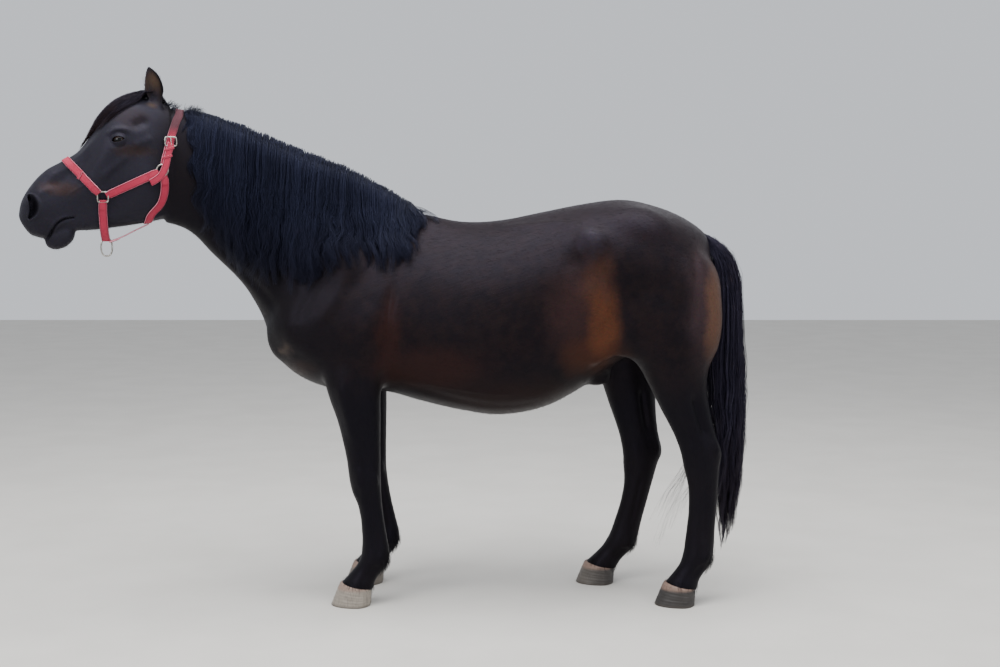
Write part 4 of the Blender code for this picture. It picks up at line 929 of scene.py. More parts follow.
def strands(name, paths, widths, thickness=0.6, outwards=None, unwrapped=None, soft=0.0):
    # tapering strands with three sides, each a closed solid that lies flat against `outwards`:
    # paths are (strands, stations, 3) and half widths (strands, stations). `unwrapped` is where
    # each root lies on the UV map; `soft` turns the shading from the strand's own to the skin's
    count, stations = paths.shape[:2]
    along = np.empty_like(paths)
    along[:, 1:-1] = paths[:, 2:] - paths[:, :-2]
    along[:, 0], along[:, -1] = paths[:, 1] - paths[:, 0], paths[:, -1] - paths[:, -2]
    along /= np.linalg.norm(along, axis=2, keepdims=True) + 1e-12
    up = np.broadcast_to(outwards, paths.shape)
    across = np.cross(along, up)
    across /= np.linalg.norm(across, axis=2, keepdims=True) + 1e-12
    up = np.cross(across, along)
    half = widths[:, :, None]
    sides = (paths - across * half, paths + across * half, paths + up * half * thickness)
    points = np.stack(sides, 2).reshape(-1, 3)
    here = (np.arange(count)[:, None, None] * stations + np.arange(stations - 1)[None, :, None]) * 3
    side = np.arange(3)
    beside = (side + 1) % 3
    quads = np.stack(np.broadcast_arrays(here + side, here + beside, here + beside + 3, here + side + 3), -1)
    quads = quads.reshape(-1, 4)
    root = np.arange(count) * stations * 3
    tip = root + (stations - 1) * 3
    ends = np.concatenate([np.stack([root, root + 1, root + 2], 1), np.stack([tip + 2, tip + 1, tip], 1)])
    triangles = np.concatenate([quads[:, [2, 1, 0]], quads[:, [3, 2, 0]], ends])
    obj = makeMesh(name, points, triangles)
    if unwrapped is None:
        return obj
    strand, station, corner = np.unravel_index(np.arange(len(points)), (count, stations, 3))
    patch = np.stack([(corner - 1) / 2, station / (stations - 1) - 0.5], 1) * patchSize
    spot = np.clip(unwrapped, patchSize, 1 - patchSize)[strand] + patch
    layUv(obj.data, "OFBake", spot[triangles.ravel()])
    shades = seeded.uniform(0, 1, count)[strand]
    for key, values in (("shade", shades), ("along", station / (stations - 1))):
        layer = obj.data.attributes.new(key, "FLOAT", "POINT")
        layer.data.foreach_set("value", values.astype(np.float32))
    if soft:
        own = unit(np.stack([-across - up * 0.3, across - up * 0.3, up], 2).reshape(-1, 3))
        skinward = np.repeat(np.broadcast_to(outwards, paths.shape), 3, 1).reshape(-1, 3)
        lit = own * (1 - soft) + skinward * soft
        lit += np.repeat(seeded.normal(0, 0.06, (count, 3)), stations * 3, 0)
        shadeSmooth(obj)
        obj.data.normals_split_custom_set_from_vertices(unit(lit))
    return obj


def spread(*axes):
    # places of roots on an unwrap of the strip they grow from
    columns = [(axis - axis.min()) / (np.ptp(axis) + 1e-9) * 0.96 + 0.02 for axis in axes]
    return np.stack(columns, 1)


# the mane's lower edge on the left of the neck, from its front edge to the withers
maneEdge = {
    -0.962: 1.500, -0.945: 1.440, -0.928: 1.330, -0.905: 1.200, -0.855: 1.090, -0.780: 1.035,
    -0.690: 1.024, -0.585: 1.010, -0.530: 1.045, -0.470: 1.090, -0.400: 1.078, -0.335: 1.085,
    -0.300: 1.160, -0.268: 1.210,
}
mane = {
    "locks": 150,
    "strandsPerLock": 42,
    "stations": 11,
    "halfWidth": 0.00062,
    "depth": 0.018,
    "withersDepth": 0.011,
    "crestDepth": 0.015,
    "lean": 0.050,
    "wave": 0.0120,
    "waveLength": 0.105,
    "apart": 0.0105,  # spread of the roots of one lock
    "samples": 90,  # places down each slice of the neck, this far apart
    "sampleStep": 0.0075,
}
middleOfNeck = ([0.35, 0.60, 1.02], [0.0, -0.034, -0.160])  # distance forward, then its y


def neckTable(xs):
    # for each upright slice of the neck, the skin from just right of the crest over it and down
    # the left side, at even steps; hair doesn't follow the neck back under itself
    places, outs = [], []
    wanted = np.arange(mane["samples"]) * mane["sampleStep"]
    down, leftward = Vector((0, 0, -1)), Vector((0, -1, 0))
    for x in xs:
        middle = float(np.interp(-x, *middleOfNeck))
        crest = hideTree.ray_cast(Vector((x, middle, 2.0)), down)[0]
        centre = Vector((x, middle, crest.z - 0.13))
        line, normals = [], []
        for turn in np.linspace(-0.30, math.pi / 2, 26):
            out = Vector((0, -math.sin(turn), math.cos(turn)))
            place, normal, _, _ = hideTree.ray_cast(centre + out * 0.4, -out)
            line.append(place[:])
            normals.append(normal[:])
        widest = line[-1][1]
        for drop in np.arange(0.012, 0.55, 0.012):
            place, normal, _, _ = hideTree.ray_cast(Vector((x, -0.6, centre.z - drop)), -leftward)
            if place is None or place.y > widest + 0.012:
                widest = widest + 0.0015
                place, normal = Vector((x, widest, centre.z - drop)), leftward
            widest = place.y
            line.append(place[:])
            normals.append(normal[:])
        run = lengthAlong(line)
        places.append(between(wanted, run, line))
        outs.append(between(wanted, run, normals))
    return np.array(places), np.array(outs)


def tableAt(table, rows, columns):
    # between the entries of a table of points
    rows = np.clip(rows, 0, table.shape[0] - 1.001)
    columns = np.clip(columns, 0, table.shape[1] - 1.001)
    r, c = rows.astype(int), columns.astype(int)
    fr, fc = (rows - r)[..., None], (columns - c)[..., None]
    upper = table[r, c] * (1 - fc) + table[r, c + 1] * fc
    lower = table[r + 1, c] * (1 - fc) + table[r + 1, c + 1] * fc
    return upper * (1 - fr) + lower * fr


def makeMane():
    edgeX, edgeZ = np.array(list(maneEdge)), np.array(list(maneEdge.values()))
    xs = np.linspace(edgeX[0] - 0.02, edgeX[-1] + 0.10, 140)
    places, outs = neckTable(xs)
    locks = mane["locks"]
    lockX = np.linspace(edgeX[0], edgeX[-1] - 0.004, locks) + seeded.normal(0, 0.003, locks)
    lockLayer = seeded.uniform(0.0, 1.0, locks)
    lockLow = np.interp(lockX, edgeX, edgeZ) + seeded.normal(0, 0.022, locks) + 0.045 * (1 - lockLayer)
    lockPhase = seeded.normal(0, 0.9, locks) + lockX * 38
    lockLean = seeded.normal(0, 0.010, locks)
    lockWave = seeded.uniform(0.5, 1.5, locks)
    lock = np.repeat(np.arange(locks), mane["strandsPerLock"])
    count = len(lock)
    rootX = np.maximum(lockX[lock] + seeded.normal(0, mane["apart"], count), edgeX[0])
    # how far down the table each strand starts and ends
    startRun = seeded.uniform(0.002, 0.036, count)
    row = np.interp(rootX, xs, np.arange(len(xs))).astype(int)
    low = lockLow[lock] + np.abs(seeded.normal(0, 0.026, count))
    falling = -np.minimum.accumulate(places[:, :, 2], axis=1)
    runs = np.arange(mane["samples"])
    endRun = np.array([np.interp(-z, falling[k], runs) for z, k in zip(low, row)]) * mane["sampleStep"]
    # stations stand closer together where the hair bends over the crest
    t = np.linspace(0, 1, mane["stations"])[None, :] ** 1.35
    run = startRun[:, None] + (endRun - startRun)[:, None] * t
    lean = mane["lean"] * smoothStep(rootX, -0.62, -0.30) + lockLean[lock]
    gather = 1 - 0.86 * smoothStep(t, 0.30, 1.0)
    wave = mane["wave"] * lockWave[lock][:, None] * smoothStep(t, 0.20, 0.85)
    phase = lockPhase[lock][:, None] + run * (2 * math.pi / mane["waveLength"])
    x = lockX[lock][:, None] + (rootX - lockX[lock])[:, None] * gather
    x = x + lean[:, None] * t**1.2 + wave * np.sin(phase)
    x = x + (seeded.normal(0, 0.0030, count)[:, None]) * t
    x = np.maximum(x, edgeX[0] - 0.01 * t)
    rows = np.interp(x, xs, np.arange(len(xs)))
    columns = run / mane["sampleStep"]
    layer = np.clip(lockLayer[lock] + seeded.normal(0, 0.16, count), 0.0, 1.15)[:, None]
    rise = smoothStep(run - startRun[:, None], -0.006, 0.016) * (1 - 0.35 * smoothStep(t, 0.65, 1.0))
    # over the crest even the lower layers stand up before they fall
    layer = layer + 0.65 * (1 - layer) * np.exp(-((run - 0.045) / 0.035)**2)
    full = mane["depth"] + mane["withersDepth"] * smoothStep(rootX, -0.60, -0.42)
    full += mane["crestDepth"] * smoothStep(rootX, -0.90, -0.78) * smoothStep(rootX, -0.40, -0.52)
    full *= 0.15 + 0.85 * smoothStep(rootX, -0.968, -0.87)
    full *= 1 - 0.70 * smoothStep(rootX, -0.31, -0.262)
    depth = -0.0010 + (0.0040 + full[:, None] * layer) * rise + 0.40 * wave * np.cos(phase)
    normal = unit(tableAt(outs, rows, columns))
    depth[:, 1:] = np.maximum(depth[:, 1:], 0.0012)
    paths = tableAt(places, rows, columns) + normal * depth[:, :, None]
    taper = 1.0 - 0.75 * smoothStep(t, 0.55, 1.0)
    widths = mane["halfWidth"] * seeded.uniform(0.7, 1.35, count)[:, None] * taper
    half = locks // 2 * mane["strandsPerLock"]
    return twoPieces(("pony_mane_front", "pony_mane_rear"), half, paths, widths, 0.7, normal,
                     spread(rootX, startRun))


def twoPieces(names, half, paths, widths, thickness, outwards, roots):
    # long hair in two pieces, because one of all its strands would be too large
    return [strands(name, paths[part], widths[part], thickness, outwards[part], roots[part])
            for name, part in zip(names, (slice(0, half), slice(half, None)))]


# the tail: (x, z) of its front edge and rear edge, half width, from the dock to the tip
tailRings = (
    ((0.618, 1.140), (0.650, 1.190), 0.020), ((0.640, 1.140), (0.684, 1.181), 0.028),
    ((0.664, 1.108), (0.740, 1.140), 0.036), ((0.680, 1.055), (0.770, 1.080), 0.043),
    ((0.688, 0.970), (0.779, 0.970), 0.050), ((0.682, 0.860), (0.786, 0.850), 0.056),
    ((0.668, 0.740), (0.797, 0.730), 0.060), ((0.684, 0.560), (0.799, 0.560), 0.062),
    ((0.700, 0.400), (0.791, 0.400), 0.052), ((0.706, 0.270), (0.774, 0.270), 0.036),
    ((0.712, 0.160), (0.750, 0.160), 0.018), ((0.714, 0.118), (0.728, 0.118), 0.006),
)
tail = {
    "locks": 110,
    "strandsPerLock": 36,
    "stations": 14,
    "halfWidth": 0.00075,
    "wave": 0.008,
    "waveLength": 0.13,
    "stray": 0.15,  # how far a strand leaves its lock, as a share of the tail's half width
    "wispEvery": 360,  # of this many strands
    "wispStrands": 14,  # this many drift far forward
}


def makeTail():
    front, rear = (curveThrough([(ring[edge][0], 0, ring[edge][1]) for ring in tailRings], 12)
                   for edge in (0, 1))
    broad = curveThrough([ring[2] for ring in tailRings], 12)
    middle = (front + rear) / 2
    run = lengthAlong(middle)
    length = run[-1]
    locks = tail["locks"]
    turn = seeded.uniform(0, 2 * math.pi, locks)
    reach = np.sqrt(seeded.uniform(0.02, 0.90, locks))
    lock = np.repeat(np.arange(locks), tail["strandsPerLock"])
    count = len(lock)
    lockStart = seeded.uniform(0.0, 0.30, locks) ** 1.3
    lockEnd = 1.0 - np.abs(seeded.normal(0, 0.13, locks)) - 0.10 * seeded.uniform(0, 1, locks)
    start = np.clip(lockStart[lock] * length * 0.9 + seeded.uniform(0, 0.02, count), 0, None)
    end = np.clip(lockEnd[lock] - np.abs(seeded.normal(0, 0.05, count)), 0.45, 1.0) * length
    t = np.linspace(0, 1, tail["stations"])[None, :]
    place = start[:, None] + (end - start)[:, None] * t
    gather = 1 - 0.75 * t
    lateral, sideways = (
        (reach * direction(turn))[lock][:, None] + seeded.normal(0, tail["stray"], count)[:, None] * gather
        for direction in (np.cos, np.sin))
    # hair leaves the dock's surface and reaches its place in the fall a hand further down
    leave = smoothStep(t, 0.0, 0.16)
    size = 0.55 + 0.45 * leave
    phase = seeded.uniform(0, 2 * math.pi, locks)[lock][:, None]
    phase = phase + place * (2 * math.pi / tail["waveLength"])
    wave = tail["wave"] * smoothStep(place, 0.25, 0.8)
    # a few locks drift forward beside the leg, and all of them part a little towards the tip
    drift = (seeded.uniform(0, 1, locks) < 0.14) * seeded.uniform(0.02, 0.07, locks)
    wisp, inWisp = np.divmod(np.arange(count), tail["wispEvery"])
    wisps = seeded.uniform(0.12, 0.24, 12)[wisp % 12] * seeded.uniform(0.93, 1.07, count)
    drift = drift[lock] + (inWisp < tail["wispStrands"]) * wisps
    drift = drift[:, None] * smoothStep(place, 0.42 * length, length)
    centre = between(place, run, middle)
    frontward = between(place, run, (front - rear) / 2)
    half = np.interp(place, run, broad)
    paths = centre + frontward * (lateral * size)[:, :, None]
    paths[:, :, 1] += sideways * size * half + wave * np.cos(phase)
    paths[:, :, 0] += wave * np.sin(phase) * 0.8 - drift
    taper = 1.0 - 0.70 * smoothStep(t, 0.55, 1.0)
    widths = tail["halfWidth"] * seeded.uniform(0.7, 1.3, count)[:, None] * taper
    outwards = paths - centre + np.array([0, 0, 1e-4])
    roots = spread(turn[lock] + seeded.uniform(0, 0.05, count), start)
    return twoPieces(("pony_tail_near", "pony_tail_off"), count // 2, paths, widths, 0.8, outwards, roots)


print("hair: mane and tail")
maneHair = makeMane()
tailHair = makeTail()

forelock = {
    # from behind the ears down the forehead: (ahead, above) on the face line, half width, depth
    "line": (
        ((-0.012, -0.001), 0.020, 0.016), ((0.014, 0.006), 0.024, 0.024), ((0.050, 0.016), 0.042, 0.022),
        ((0.100, 0.016), 0.066, 0.018), ((0.152, -0.005), 0.082, 0.016), ((0.197, -0.050), 0.078, 0.016),
        ((0.230, -0.096), 0.058, 0.014), ((0.262, -0.136), 0.030, 0.010), ((0.285, -0.165), 0.016, 0.005),
    ),
    "locks": 78,
    "strandsPerLock": 16,
    "stations": 12,
    "halfWidth": 0.00055,
    "columns": 15,
    "overlap": 1.5,  # how far its table of places reaches beyond its half width
}


def makeForelock():
    line, wide, deep = (curveThrough(values, 6) for values in zip(*forelock["line"]))
    columns, overlap = forelock["columns"], forelock["overlap"]
    places, outs = np.empty((2, len(line), columns, 3))
    for row, (ahead, above) in enumerate(line):
        for column, across in enumerate(np.linspace(-overlap, overlap, columns)):
            # rows of places on the skin, which dip at the sides as they wrap round the forehead
            dip = 0.35 * max(0.0, abs(across * wide[row]) - 0.03)
            near = Vector(headPoint(ahead + 0.3 * dip, above + 0.02 - dip, wide[row] * across))
            place, normal, _, _ = hideTree.find_nearest(near)
            places[row, column], outs[row, column] = place[:], normal[:]
    locks = forelock["locks"]
    lock = np.repeat(np.arange(locks), forelock["strandsPerLock"])
    count = len(lock)
    lockAcross, lockLayer = seeded.uniform(-0.95, 0.95, locks), seeded.uniform(0, 1, locks)
    start = seeded.uniform(0.0, 0.42, locks)[lock] + seeded.normal(0, 0.02, count)
    end = np.clip(1.0 - 0.30 * np.abs(lockAcross) - np.abs(seeded.normal(0, 0.13, locks)), 0.5, 1)[lock]
    end -= np.abs(seeded.normal(0, 0.04, count))
    t = np.linspace(0, 1, forelock["stations"])[None]
    place = np.clip(start, 0, None)[:, None] * (1 - t) + end[:, None] * t
    sway = seeded.normal(0, 0.10, locks)[lock][:, None] * t
    phase = seeded.uniform(0, 2 * math.pi, locks)[lock][:, None] + place * 9
    across = lockAcross[lock][:, None] + sway + seeded.normal(0, 0.16, count)[:, None] * (1 - 0.8 * t)
    across += 0.07 * np.sin(phase) * t
    rows, cols = place * (len(line) - 1), (across / overlap + 1) / 2 * (columns - 1)
    depth = np.interp(rows, np.arange(len(line)), deep)
    layer = np.clip(lockLayer[lock] + seeded.normal(0, 0.15, count), 0.05, 1.1)[:, None]
    rise = smoothStep(t, 0, 0.18) * (1 - 0.45 * smoothStep(t, 0.7, 1.0))
    lift = 0.001 + depth * layer * rise * (1 - 0.5 * np.clip(across, -1, 1)**2)
    normal = tableAt(outs, rows, cols)
    paths = tableAt(places, rows, cols) + normal * lift[:, :, None]
    taper = 1 - 0.7 * smoothStep(t, 0.5, 1)
    widths = forelock["halfWidth"] * seeded.uniform(0.7, 1.2, count)[:, None] * taper
    return strands("pony_forelock", paths, widths, 0.7, normal, spread(place[:, 0], across[:, 0]))


foreHair = makeForelock()


# The headcollar: webbing laid on the coat, with rings, stitching and a buckle. Places are
# (ahead, above) of the poll.
collar = {
    "halfWidth": 0.0122,
    "thickness": 0.0032,
    "lift": 0.0036,
    "fold": 0.030,  # length of the doubled fold at a ring
    "liningThickness": 0.0016,
    "wire": 0.0025,
    "noseRing": (0.200, -0.286),
    "sideRing": (0.025, -0.206),
    "chinRing": (0.192, -0.440),
    "buckle": (0.000, -0.120),
    # short keeper loops round a strap: place, how far it turns, lift
    "keepers": (((0.004, -0.142), 0.30, 0.0130), ((0.010, -0.166), 0.30, 0.0130),
                ((0.262, -0.222), 1.05, 0.0075)),
}


def evened(path, spacing):
    run = lengthAlong(path)
    return between(np.linspace(0, run[-1], max(3, int(round(run[-1] / spacing)) + 1)), run, path)


def smoothed(values, passes):
    values = np.array(values)
    for _ in range(passes):
        values[1:-1] = (values[:-2] + 2 * values[1:-1] + values[2:]) / 4
    return values


def sidePath(places, hand, steps=8):
    return [sideCast(hideTree, headPoint(*place), headLeft * hand)[0]
            for place in curveThrough(places, steps)]


def roundHead(centre, up, start, stop, steps=56):
    # line round the head: from the centre, rays turn from the left (0 degrees) up.
    # A strap is taut, so it bridges the hollows: only the outer corners of the outline are kept.
    direction = unit(headPoint(*up) - headPoint(0, 0))
    kept = []
    for turn in np.radians(np.linspace(start, stop, steps)):
        out = headLeft * math.cos(turn) + direction * math.sin(turn)
        place = sideCast(hideTree, headPoint(*centre), out, 0.5)[0] - headPoint(*centre)
        spot = np.array([place @ headLeft, place @ direction])
        while len(kept) > 1:
            last, bend = kept[-1] - kept[-2], spot - kept[-1]
            if (last[0] * bend[1] - last[1] * bend[0]) * np.sign(stop - start) > 0:
                break
            kept.pop()
        kept.append(spot)
    return [headPoint(*centre) + headLeft * x + direction * y for x, y in kept]


def liftedOff(point, lift):
    # the place, moved out only where it would lie closer to the skin than the lift
    place, normal, _, _ = hideTree.find_nearest(Vector(point))
    height = (point - np.array(place)) @ np.array(normal)
    return point + np.array(normal) * max(0.0, lift - height)


def laidBand(path, across=None, lift=None, spacing=0.0035):
    # along the middle of a strap: its places, directions across it and directions off the head
    path = smoothed(evened(smoothed(evened(path, spacing), 6), spacing), 4)
    lift = collar["lift"] if lift is None else lift
    along = np.gradient(path, axis=0)
    if across is not None:
        # a strap that hangs free under the jaw keeps this direction across it
        sides = np.tile(across, (len(path), 1))
        outs = unit(np.cross(along, sides))
        return path, sides, outs * np.sign(((path - headPoint(0.190, -0.300)) * outs).sum(1))[:, None]
    near = smoothed([hideTree.find_nearest(Vector(point))[1][:] for point in path], 12)
    reach = unit(smoothed(np.cross(along, near), 10)) * collar["halfWidth"]
    left, right = (smoothed([liftedOff(point, lift) for point in edge], 10)
                   for edge in (path + reach, path - reach))
    sides = unit(left - right)
    middles = smoothed([liftedOff(point, lift) for point in (left + right) / 2], 8)
    outs = unit(np.cross(np.gradient(middles, axis=0), sides))
    return middles, sides, outs * np.sign((outs * near).sum(1))[:, None]


foldDepth = 0.85  # how much thicker the webbing is where it is folded round a ring


def toRing(at, length, folds):
    # distance to the nearer end that is folded round a ring
    return np.minimum(at + (not folds[0]), length - at + (not folds[1]))


def doubledShare(at, length, folds):
    return 1 - smoothStep(toRing(at, length, folds), collar["fold"], collar["fold"] + 0.004)


def bandSolid(name, band, halfWidth, thickness, offset=0.0, folds=(True, True)):
    # rounded strip; near a ring it is a doubled fold, narrowed where it wraps round the wire
    middles, sides, outs = band
    run = lengthAlong(middles)
    narrow = 1 - 0.14 * (1 - smoothStep(toRing(run, run[-1], folds), 0.004, 0.016))
    half = (thickness / 2) * (1 + foldDepth * doubledShare(run, run[-1], folds))
    turns = np.linspace(0, 2 * math.pi, 16, endpoint=False)
    flat, thick = (np.sign(wave) * np.abs(wave)**power
                   for wave, power in ((np.cos(turns), 0.25), (np.sin(turns), 0.6)))
    centre = middles + outs * (offset + half - thickness / 2)[:, None]
    rows = centre[:, None] + (sides * (halfWidth * narrow)[:, None])[:, None] * flat[:, None]
    rows = rows + (outs * half[:, None])[:, None] * thick[:, None]
    obj = closedLoft(name, rows)
    # its UV map: across the strip in 0 to 1, and its length in metres
    u = np.concatenate([np.tile(0.5 + 0.5 * flat * 0.98, len(rows)), [0.5, 0.5]])
    v = np.concatenate([np.repeat(run, len(turns)), [0, run[-1]]])
    layUv(obj.data, "weave", np.stack([u, v], 1)[cornersOf(obj.data)])
    return obj


stitch = {
    "pitch": 0.0050,
    "rows": (-0.80, 0.80),  # shares of the strap's half width
    # along its length: how far ahead, how high and how wide
    "step": np.array([-0.0017, -0.0009, 0.0, 0.0009, 0.0017]),
    "bow": np.array([-0.0003, 0.0002, 0.0003, 0.0002, -0.0003]),
    "halfWidths": (0.0002, 0.00045, 0.0005, 0.00045, 0.0002),
}


def stitchRows(band, halfWidth, folds):
    # short stitches lying on the webbing, each a bead that dips into it at both ends
    run = lengthAlong(band[0])
    at = np.arange(0.006, run[-1] - 0.006, stitch["pitch"])
    places, side, out, ahead = (between(at, run, values)
                                for values in (*band, unit(np.gradient(band[0], axis=0))))
    fold = doubledShare(at, run[-1], folds)
    rise = collar["thickness"] * (0.5 + foldDepth * fold) + 0.0001
    paths = [(places + side * (halfWidth * row) + out * rise[:, None])[:, None]
             + ahead[:, None] * stitch["step"][:, None] + out[:, None] * stitch["bow"][:, None]
             for row in stitch["rows"]]
    paths = np.concatenate(paths)
    ups = np.tile(out[:, None], (len(stitch["rows"]), len(stitch["step"]), 1))
    return strands("stitches", paths, np.tile(stitch["halfWidths"], (len(paths), 1)), 1.2, ups)


def wireRing(middle, across, up, halfWide, halfHigh, squareness, wire=collar["wire"]):
    # closed ring of round wire; squareness 2 is round
    steps, around = 72, 14
    turns = np.linspace(0, 2 * math.pi, steps, endpoint=False)[:, None]
    wide, high = (np.sign(wave) * np.abs(wave)**(2 / squareness) * half
                  for wave, half in ((np.cos(turns), halfWide), (np.sin(turns), halfHigh)))
    line = middle + across * wide + up * high
    for _ in range(2):
        line = (np.roll(line, 1, 0) + 2 * line + np.roll(line, -1, 0)) / 4
    normal = np.cross(across, up)
    out = np.cross(unit(np.roll(line, -1, 0) - np.roll(line, 1, 0)), normal)
    angles = np.linspace(0, 2 * math.pi, around, endpoint=False)[:, None]
    grid = line[:, None] + wire * (out[:, None] * np.cos(angles) + normal * np.sin(angles))
    quads = gridFaces(steps + 1, around) % (steps * around)
    return outward(makeMesh("ring", grid.reshape(-1, 3), quads))


def flatFrame(place, hand, lift):
    # place on one side of the head off the skin, with the skin's level and upward directions there
    point, normal = sideCast(hideTree, headPoint(*place), headLeft * hand)
    normal = unit(normal + headLeft * hand)
    level = unit(np.cross(upward, normal))
    return point + normal * lift, normal, level, np.cross(normal, level)


def makeHeadcollar():
    webs, linings, stitches, metal = [], [], [], []
    thick = collar["thickness"]

    def addStrap(path, across=None, folds=(True, True), lined=True, width=collar["halfWidth"], lift=None):
        band = laidBand(path, across, lift)
        webs.append(bandSolid("webbing", band, width, thick, 0.0, folds))
        if lined:
            # the lining shows as a thin dark edge on both sides of the webbing
            linings.append(bandSolid("lining", band, width + 0.0009, collar["liningThickness"],
                                     -thick / 2 - 0.0007, (False, False)))
        stitches.append(stitchRows(band, width, folds))

    # on each side the square nose ring, the round side ring and the cheek strap between them
    jawLine = []
    for hand in (1, -1):
        for ring, size, squareness in (("noseRing", 0.0158, 5), ("sideRing", 0.0168, 2)):
            middle, _, level, up = flatFrame(collar[ring], hand, 0.0062)
            metal.append(wireRing(middle, level, up, size, size, squareness))
        addStrap(sidePath([(0.190, -0.282), (0.110, -0.246), (0.037, -0.212)], hand))
        down = [flatFrame((0.200, above), hand, 0.0070)[0] for above in (-0.295, -0.325, -0.350)]
        down.append(headPoint(0.198, -0.390, hand * 0.036))
        down.append(headPoint(0.194, -0.417, hand * 0.012))
        jawLine.append(down)
    # the jaw strap hangs from nose ring to nose ring, and the noseband lies over the nose
    addStrap(curveThrough(jawLine[0] + [headPoint(0.1935, -0.4225)] + jawLine[1][::-1], 8), headAhead)
    addStrap(roundHead((0.206, -0.280), (0.104, 0.110), 5, 175))

    # the crown strap goes over the poll behind the ears, the throat strap under the jaw,
    # both from side ring to side ring
    side = [(0.021, -0.194), (0.006, -0.140), (-0.008, -0.090), (-0.024, -0.045)]
    over = roundHead((-0.030, -0.100), (-0.004, 0.100), 50, 130, 28)
    addStrap(sidePath(side, 1) + over + sidePath(side[::-1], -1))
    side = [(0.022, -0.219), (0.018, -0.260), (0.028, -0.305)]
    under = roundHead((0.046, -0.300), (-0.030, 0.080), -38, -142, 32)
    addStrap(sidePath(side, 1) + under + sidePath(side[::-1], -1))
    # the link strap joins the throat strap to the chin ring
    link = ((0.064, -0.368), (0.108, -0.389), (0.145, -0.408), (0.1850, -0.4225))
    addStrap(curveThrough([headPoint(*place) for place in link], 10), headLeft, (False, True), False)
    # the crown strap's spare end comes down over the buckle, past the side ring, and hangs forward
    spare = [(-0.001, -0.126), (0.011, -0.162), (0.017, -0.196), (0.032, -0.226), (0.062, -0.243)]
    addStrap(sidePath(spare, 1), None, (False, False), False, 0.0105, 0.0105)
    for place, tilt, lift in collar["keepers"]:
        middle, _, level, up = flatFrame(place, 1, 0.0080)
        ahead = (level * math.cos(tilt) + up * math.sin(tilt)) * 0.0145
        band = laidBand([middle - ahead, middle + ahead], None, lift)
        webs.append(bandSolid("keeper", band, 0.0036, 0.0024, 0.0, (False, False)))

    middle, normal, level, up = flatFrame(collar["buckle"], 1, 0.0098)
    metal.append(wireRing(middle, level, up, 0.0178, 0.0140, 5, 0.0021))
    tongue = [middle + up * 0.012 - normal * 0.0005, middle + normal * 0.0022,
              middle - up * 0.0155 + normal * 0.002]
    metal.append(strands("tongue", curveThrough(tongue, 5)[None], np.full((1, 11), 0.0016), 1.2, normal))
    metal.append(wireRing(headPoint(*collar["chinRing"]), headAhead, upward, 0.0165, 0.0270, 2.4, 0.0026))
    made = {"webbing": webs, "lining": linings, "stitching": stitches, "metal": metal}
    return [joinAll("headcollar_" + name, objects) for name, objects in made.items()]


print("headcollar")
webbing, lining, stitching, metal = makeHeadcollar()


# The short coat: small tufts that lie along the body and break its edges.

def growthAt(points):
    # the way the coat lies: back along the trunk and down the legs, back and down on neck and face
    x, z = points[:, 0], points[:, 2]
    lie = np.tile([1.0, 0.0, -0.35], (len(points), 1))
    legs = (1 - smoothStep(z, 0.55, 0.80))[:, None]
    lie = lie * (1 - legs) + np.array([0.12, 0.0, -1.0]) * legs
    onHead = (1 - smoothStep(x, -1.00, -0.86))[:, None]
    lie = lie * (1 - onHead) + (-headAhead * 0.75 + upward * 0.35) * onHead
    onNeck = smoothStep(x, -0.98, -0.86) * (1 - smoothStep(x, -0.60, -0.40)) * smoothStep(z, 0.80, 0.95)
    return lie * (1 - onNeck[:, None]) + np.array([0.70, 0.0, -0.75]) * onNeck[:, None]


def skinSpots(count, weigh):
    # places on the skin picked at random, denser where `weigh` is larger
    mesh = hide.data
    corners = cornersOf(mesh).reshape(-1, 3)
    trio = pointsOf(mesh)[corners]
    normal = np.cross(trio[:, 1] - trio[:, 0], trio[:, 2] - trio[:, 0])
    area = np.linalg.norm(normal, axis=1) + 1e-15
    normal /= area[:, None]
    weights = area * weigh(trio.mean(1), normal)
    face = seeded.choice(len(area), count, p=weights / weights.sum())
    a, b = seeded.uniform(0, 1, (2, count, 1))
    flip = (a + b) > 1
    a, b = np.where(flip, 1 - a, a), np.where(flip, 1 - b, b)
    flat = np.empty(len(mesh.loops) * 2, np.float32)
    mesh.uv_layers["OFBake"].data.foreach_get("uv", flat)
    flat = flat.reshape(-1, 3, 2)
    spots, unwrapped = (values[face, 0] + a * (values[face, 1] - values[face, 0])
                        + b * (values[face, 2] - values[face, 0]) for values in (trio, flat))
    smooth = normalsOf(mesh)[corners[face]]
    smooth = smooth[:, 0] * (1 - a - b) + smooth[:, 1] * a + smooth[:, 2] * b
    return spots, unit(smooth), unwrapped


def awayFrom(points, places, radius):
    # 0 within the radius of any of these places and 1 well outside it
    clear = np.ones(len(points))
    for place in places:
        clear *= smoothStep(np.linalg.norm(points - place, axis=1), radius * 0.8, radius * 1.2)
    return clear


def bareShare(points):
    # no tufts round the eyes, in the nostrils or along the mouth
    eyes = [eyeAxes(hand)[0] + eyeAxes(hand)[1] * 0.02 for hand in (1, -1)]
    lips = [headPoint(ahead, above, side * hand) for hand in (1, -1)
            for ahead, above, side in ((0.405, -0.320, 0.058), (0.345, -0.390, 0.040))]
    return awayFrom(points, eyes, 0.030) * awayFrom(points, lips, 0.040)


